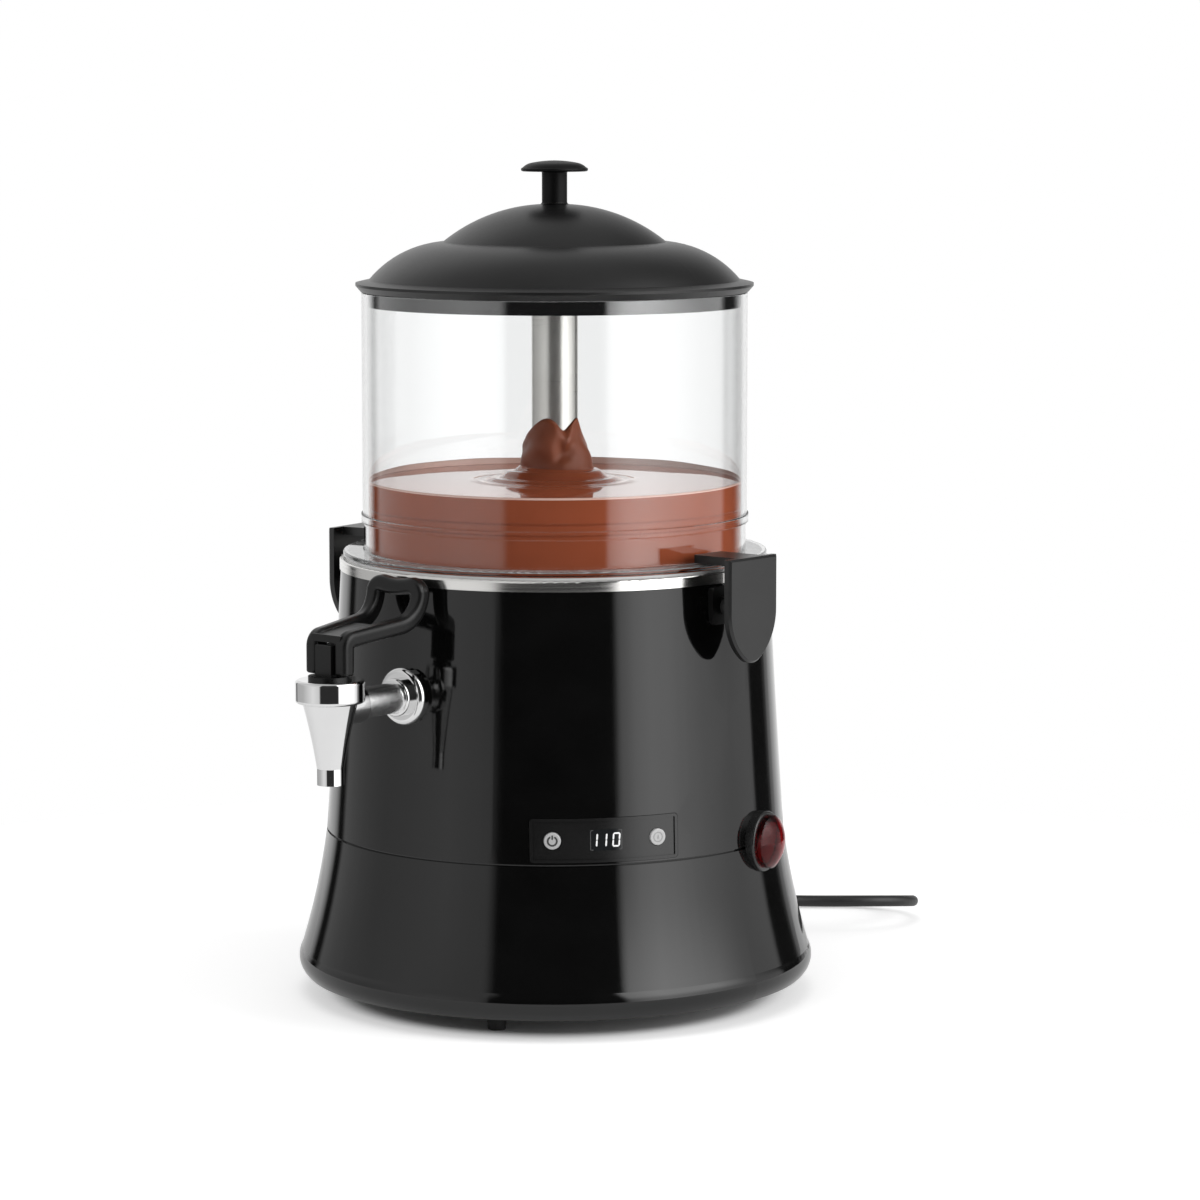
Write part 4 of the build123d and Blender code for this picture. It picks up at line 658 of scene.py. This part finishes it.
def front_point(node, azimuth, across, up, lift):
    """A point in front of a node, by millimetres across and up from its middle and off its face."""
    out = out_direction(azimuth + math.degrees(across / panel_radius))
    above = Vector((0, 0, (panel_height + up) * MM))
    hit, place, _, _ = node.ray_cast(out * 2 * panel_radius * MM + above, -out)
    if not hit:
        raise ValueError(f"a sign misses {node.name}")
    return place + out * (lift * MM)


def raised_signs(name, node, azimuth, outlines, material, body):
    """Thin raised shapes on the front of a node, each from its closed outline."""
    bpy.context.view_layer.update()
    points, faces = [], []
    for outline in outlines:
        first, count = len(points), len(outline)
        for lift in (mark_proud, -mark_sunk):
            points += [front_point(node, azimuth, across, up, lift) for across, up in outline]
        faces.append(tuple(range(first, first + count)))
        faces.append(tuple(range(first + count, first + 2 * count)))
        for step in range(count):
            after = (step + 1) % count
            faces.append((first + step, first + after, first + count + after, first + count + step))
    signs = mesh_object(name, points, faces, smooth=False)
    face_outward(signs)
    signs.data.materials.append(material)
    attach(signs, body)


def bar_outline(start, end, width):
    """A bar with pointed ends."""
    start, end = Vector(start), Vector(end)
    run = (end - start).normalized() * (width / 2)
    side = Vector((-run.y, run.x))
    return [start, start + run + side, end - run + side, end, end - run - side, start + run - side]


def ring_outlines(inner, outer, opening=0.0, count=24):
    """A ring cut into flat sectors, with an opening at its top, in degrees."""
    first, last = 90 + opening / 2, 450 - opening / 2
    turns = [math.radians(first + (last - first) * step / count) for step in range(count + 1)]
    spokes = [Vector((math.cos(turn), math.sin(turn))) for turn in turns]
    return [[a * inner, a * outer, b * outer, b * inner] for a, b in zip(spokes, spokes[1:])]


def digit_outlines(digit, middle):
    """The lit bars of one seven-bar digit."""
    ends = {
        "a": ((-1, 1), (1, 1)),
        "b": ((1, 1), (1, 0)),
        "c": ((1, 0), (1, -1)),
        "d": ((1, -1), (-1, -1)),
        "e": ((-1, -1), (-1, 0)),
        "f": ((-1, 0), (-1, 1)),
    }
    lit = {"0": "abcdef", "1": "bc"}
    half = Vector((digit_width / 2, digit_height / 2))
    outlines = []
    for bar in lit[digit]:
        start, end = (Vector((x * half.x, y * half.y)) for x, y in ends[bar])
        outline = bar_outline(start, end, digit_bar)
        outlines.append([(middle + point.x + digit_slant * point.y, point.y) for point in outline])
    return outlines


def make_signs():
    """Digits and a fine frame on the display, and dark signs on the two buttons."""
    window = nodes["display_window"]
    lit = finish("display_lit", grey(0.78), grey(0.84), (0.3, 0.4), SATIN_SKIN, glow=0.15)
    outlines = [outline for digit, middle in digit_places for outline in digit_outlines(digit, middle)]
    raised_signs("display_digits", window, panel_azimuth, outlines, lit, "base")
    line = finish("display_line", grey(0.05), grey(0.07), (0.3, 0.4), SATIN_SKIN)
    side, top = window_width / 2 - window_line, window_height / 2 - window_line
    corners = [(-side, -top), (side, -top), (side, top), (-side, top)]
    sides = zip(corners, corners[1:] + corners[:1])
    frame_bars = [bar_outline(start, end, window_line) for start, end in sides]
    raised_signs("display_frame", window, panel_azimuth, frame_bars, line, "base")
    ink = finish("sign_ink", grey(0.03), grey(0.05), (0.4, 0.5), SATIN_SKIN)
    pale_ink = finish("sign_pale", grey(0.26), grey(0.32), (0.4, 0.5), SATIN_SKIN)
    left, right = panel_azimuth - button_turn, panel_azimuth + button_turn
    power = ring_outlines(*power_ring, opening=power_opening) + [bar_outline(*power_bar, power_bar_width)]
    raised_signs("power_sign", nodes["button_left"], left, power, ink, "left_button")
    heat = ring_outlines(*heat_ring) + [bar_outline(*heat_bar, heat_bar_width)]
    raised_signs("heat_sign", nodes["button_right"], right, heat, pale_ink, "right_button")


make_signs()


# Camera


def make_camera():
    """Camera at the photograph's place, aimed a little to the right of the axis."""
    right = Vector((math.cos(camera_turn), math.sin(camera_turn), 0))
    away = Vector((-math.sin(camera_turn), math.cos(camera_turn), 0))
    up = Vector((0, 0, 1))
    level = right * math.sin(camera_yaw) + away * math.cos(camera_yaw)
    forward = level * math.cos(camera_pitch) - up * math.sin(camera_pitch)
    tall = level * math.sin(camera_pitch) + up * math.cos(camera_pitch)
    side = forward.cross(tall)
    data = bpy.data.cameras.new("camera")
    data.lens = camera_lens
    data.sensor_width = camera_sensor
    data.clip_start = camera_near
    camera = bpy.data.objects.new("camera", data)
    scene.collection.objects.link(camera)
    turn = Matrix((side, tall, -forward)).transposed().to_4x4()
    camera.matrix_world = Matrix.Translation(up * camera_height - away * camera_distance) @ turn
    scene.camera = camera


make_camera()


# Studio: pale floor, surrounding light and soft lamps

floor_radius, floor_sides, floor_glow, floor_pale, floor_rough = 0.62, 96, 0.42, 0.78, 0.7
# Radii between which the floor's glow fades out towards the axis: a painted shadow under the object
floor_painted_shadow_inner, floor_painted_shadow_outer, floor_mirrored = 0.110, 0.128, 0.4


def make_floor():
    """A pale round table top that glows white for the camera, mirrors and glass, with the glow faded out
    near the object's axis as a painted shadow under its foot.
    """
    turns = [2 * math.pi * step / floor_sides for step in range(floor_sides)]
    points = [(floor_radius * math.cos(turn), floor_radius * math.sin(turn), 0) for turn in turns]
    floor = mesh_object("floor", points, [tuple(range(floor_sides))], smooth=False)
    material = bpy.data.materials.new("floor_pale")
    material.use_nodes = True
    tree = material.node_tree
    shader = tree.nodes["Principled BSDF"]
    shader.inputs["Base Color"].default_value = (*grey(floor_pale), 1)
    shader.inputs["Roughness"].default_value = floor_rough
    shader.inputs["Specular IOR Level"].default_value = 0.0
    path = add_node(tree, "ShaderNodeLightPath")
    mirrored = math_node(tree, "MULTIPLY", path.outputs["Is Glossy Ray"], floor_mirrored)
    seen = math_node(tree, "MAXIMUM", path.outputs["Is Camera Ray"], path.outputs["Is Transmission Ray"])
    seen = math_node(tree, "MAXIMUM", seen, mirrored)
    reach = add_node(tree, "ShaderNodeVectorMath", operation="LENGTH")
    tree.links.new(object_space(tree, (1, 1, 0)), reach.inputs[0])
    # The glow is faded to nothing under the object: a painted shadow, added to the lamps' own shadow
    clear = add_node(tree, "ShaderNodeMapRange", interpolation_type="SMOOTHSTEP")
    clear.inputs["From Min"].default_value = floor_painted_shadow_inner
    clear.inputs["From Max"].default_value = floor_painted_shadow_outer
    clear.inputs["To Max"].default_value = floor_glow
    tree.links.new(reach.outputs["Value"], clear.inputs["Value"])
    shader.inputs["Emission Color"].default_value = (1, 1, 1, 1)
    glow = math_node(tree, "MULTIPLY", seen, clear.outputs["Result"])
    tree.links.new(glow, shader.inputs["Emission Strength"])
    floor.data.materials.append(material)


make_floor()

# Brightness of the surroundings in reflections, by angle from the camera's direction:
# a pale softbox on the left and a bright one on the right, with dark gaps between
horizon_stops = (
    (-180, 1.05),
    (-148, 0.95),
    (-143, 0.60),
    (-139.5, 0.02),
    (-134.5, 0.02),
    (-131, 0.48),
    (-95, 0.53),
    (-55, 0.88),
    (-33, 0.74),
    (-28, 0.03),
    (30, 0.03),
    (33, 1.40),
    (42, 2.30),
    (50, 2.60),
    (60, 2.45),
    (80, 1.60),
    (98, 0.97),
    (119, 0.70),
    (122.5, 0.02),
    (138, 0.02),
    (150, 0.75),
    (158, 1.05),
    (180, 1.05),
)
upper_stops = (
    (-180, 0.7),
    (-150, 0.95),
    (-125, 0.6),
    (-70, 0.75),
    (-33, 0.7),
    (-28, 0.04),
    (30, 0.04),
    (33, 3.0),
    (50, 4.3),
    (80, 3.6),
    (100, 1.1),
    (120, 0.15),
    (145, 0.15),
    (160, 0.4),
    (180, 0.7),
)
surround_peak, surround_soft, surround_below, surround_zenith = 4.5, 0.55, 0.85, 0.5
upper_from, upper_to, below_from, below_to = 0.05, 0.42, -0.20, -0.30
zenith_from, zenith_to = 0.75, 0.92


def brightness_ramp(tree, stops, share):
    """Brightness by angle, from stops at angles between -180 and 180 degrees."""
    ramp = add_node(tree, "ShaderNodeValToRGB")
    elements = ramp.color_ramp.elements
    while len(elements) < len(stops):
        elements.new(0.5)
    for element, (angle, level) in zip(elements, stops):
        element.position = (angle + 180) / 360
        element.color = (*grey(level / surround_peak), 1)
    tree.links.new(share, ramp.inputs["Fac"])
    return math_node(tree, "MULTIPLY", ramp.outputs["Color"], surround_peak)


def blend_up(tree, low, high, height, start, end):
    """A value that goes from low to high as the direction turns from height start to end."""
    part = add_node(tree, "ShaderNodeMapRange", interpolation_type="SMOOTHSTEP")
    part.inputs["From Min"].default_value = start
    part.inputs["From Max"].default_value = end
    tree.links.new(height, part.inputs["Value"])
    rise = math_node(tree, "SUBTRACT", high, low)
    return math_node(tree, "MULTIPLY_ADD", rise, part.outputs["Result"], low)


def make_world():
    """White to the eye, softboxes in reflections and an even light on dull surfaces."""
    world = bpy.data.worlds.new("studio")
    scene.world = world
    world.use_nodes = True
    tree = world.node_tree
    coordinates = add_node(tree, "ShaderNodeTexCoord")
    split = add_node(tree, "ShaderNodeSeparateXYZ")
    tree.links.new(coordinates.outputs["Generated"], split.inputs["Vector"])
    azimuth = math_node(tree, "ARCTAN2", split.outputs["Y"], split.outputs["X"])
    wrapped = math_node(tree, "WRAP", azimuth, camera_azimuth + math.pi, camera_azimuth - math.pi)
    share = math_node(tree, "SUBTRACT", wrapped, camera_azimuth - math.pi)
    share = math_node(tree, "DIVIDE", share, 2 * math.pi)
    level = brightness_ramp(tree, horizon_stops, share)
    upper = brightness_ramp(tree, upper_stops, share)
    level = blend_up(tree, level, upper, split.outputs["Z"], upper_from, upper_to)
    level = blend_up(tree, level, surround_zenith, split.outputs["Z"], zenith_from, zenith_to)
    level = blend_up(tree, level, surround_below, split.outputs["Z"], below_from, below_to)
    path = add_node(tree, "ShaderNodeLightPath")
    mirrors = math_node(tree, "MINIMUM", path.outputs["Glossy Depth"], 1.0)
    scatters = math_node(tree, "MINIMUM", path.outputs["Diffuse Depth"], 1.0)
    plain = math_node(tree, "SUBTRACT", 1.0, scatters)
    bright = math_node(tree, "MAXIMUM", path.outputs["Is Camera Ray"], path.outputs["Is Transmission Ray"])
    shown = math_node(tree, "MAXIMUM", bright, path.outputs["Is Glossy Ray"])
    shown = math_node(tree, "MULTIPLY", shown, plain)
    seen = math_node(tree, "MULTIPLY_ADD", math_node(tree, "SUBTRACT", level, 1.0), mirrors, 1.0)
    soft = math_node(tree, "SUBTRACT", 1.0, shown)
    direct = math_node(tree, "MULTIPLY", seen, shown)
    strength = math_node(tree, "MULTIPLY_ADD", soft, surround_soft, direct)
    tree.links.new(strength, tree.nodes["Background"].inputs["Strength"])
    tree.nodes["Background"].inputs["Color"].default_value = (1, 1, 1, 1)


make_world()


# Lamps, as (name, angle from the camera's direction, distance, height, watts)
lamps = (
    ("lamp_right", 72, 1.5, 0.45, 19.0),
    ("lamp_left", -70, 1.6, 0.9, 6.0),
    ("lamp_top", -20, 0.5, 1.7, 7.0),
)
lamp_size, lamp_aim_height = 1.0, 0.24


def make_lamp(name, angle, distance, height, watts):
    """A soft square lamp aimed at the bowl's foot, hidden from the camera, mirrors and glass."""
    data = bpy.data.lights.new(name, "AREA")
    data.shape = "SQUARE"
    data.size = lamp_size
    data.energy = watts
    lamp = bpy.data.objects.new(name, data)
    scene.collection.objects.link(lamp)
    turn = camera_azimuth + math.radians(angle)
    place = Vector((distance * math.cos(turn), distance * math.sin(turn), height))
    aim = Vector((0, 0, lamp_aim_height)) - place
    lamp.matrix_world = Matrix.Translation(place) @ aim.to_track_quat("-Z", "Y").to_matrix().to_4x4()
    lamp.visible_glossy = False
    lamp.visible_camera = False
    lamp.visible_transmission = False


for lamp in lamps:
    make_lamp(*lamp)
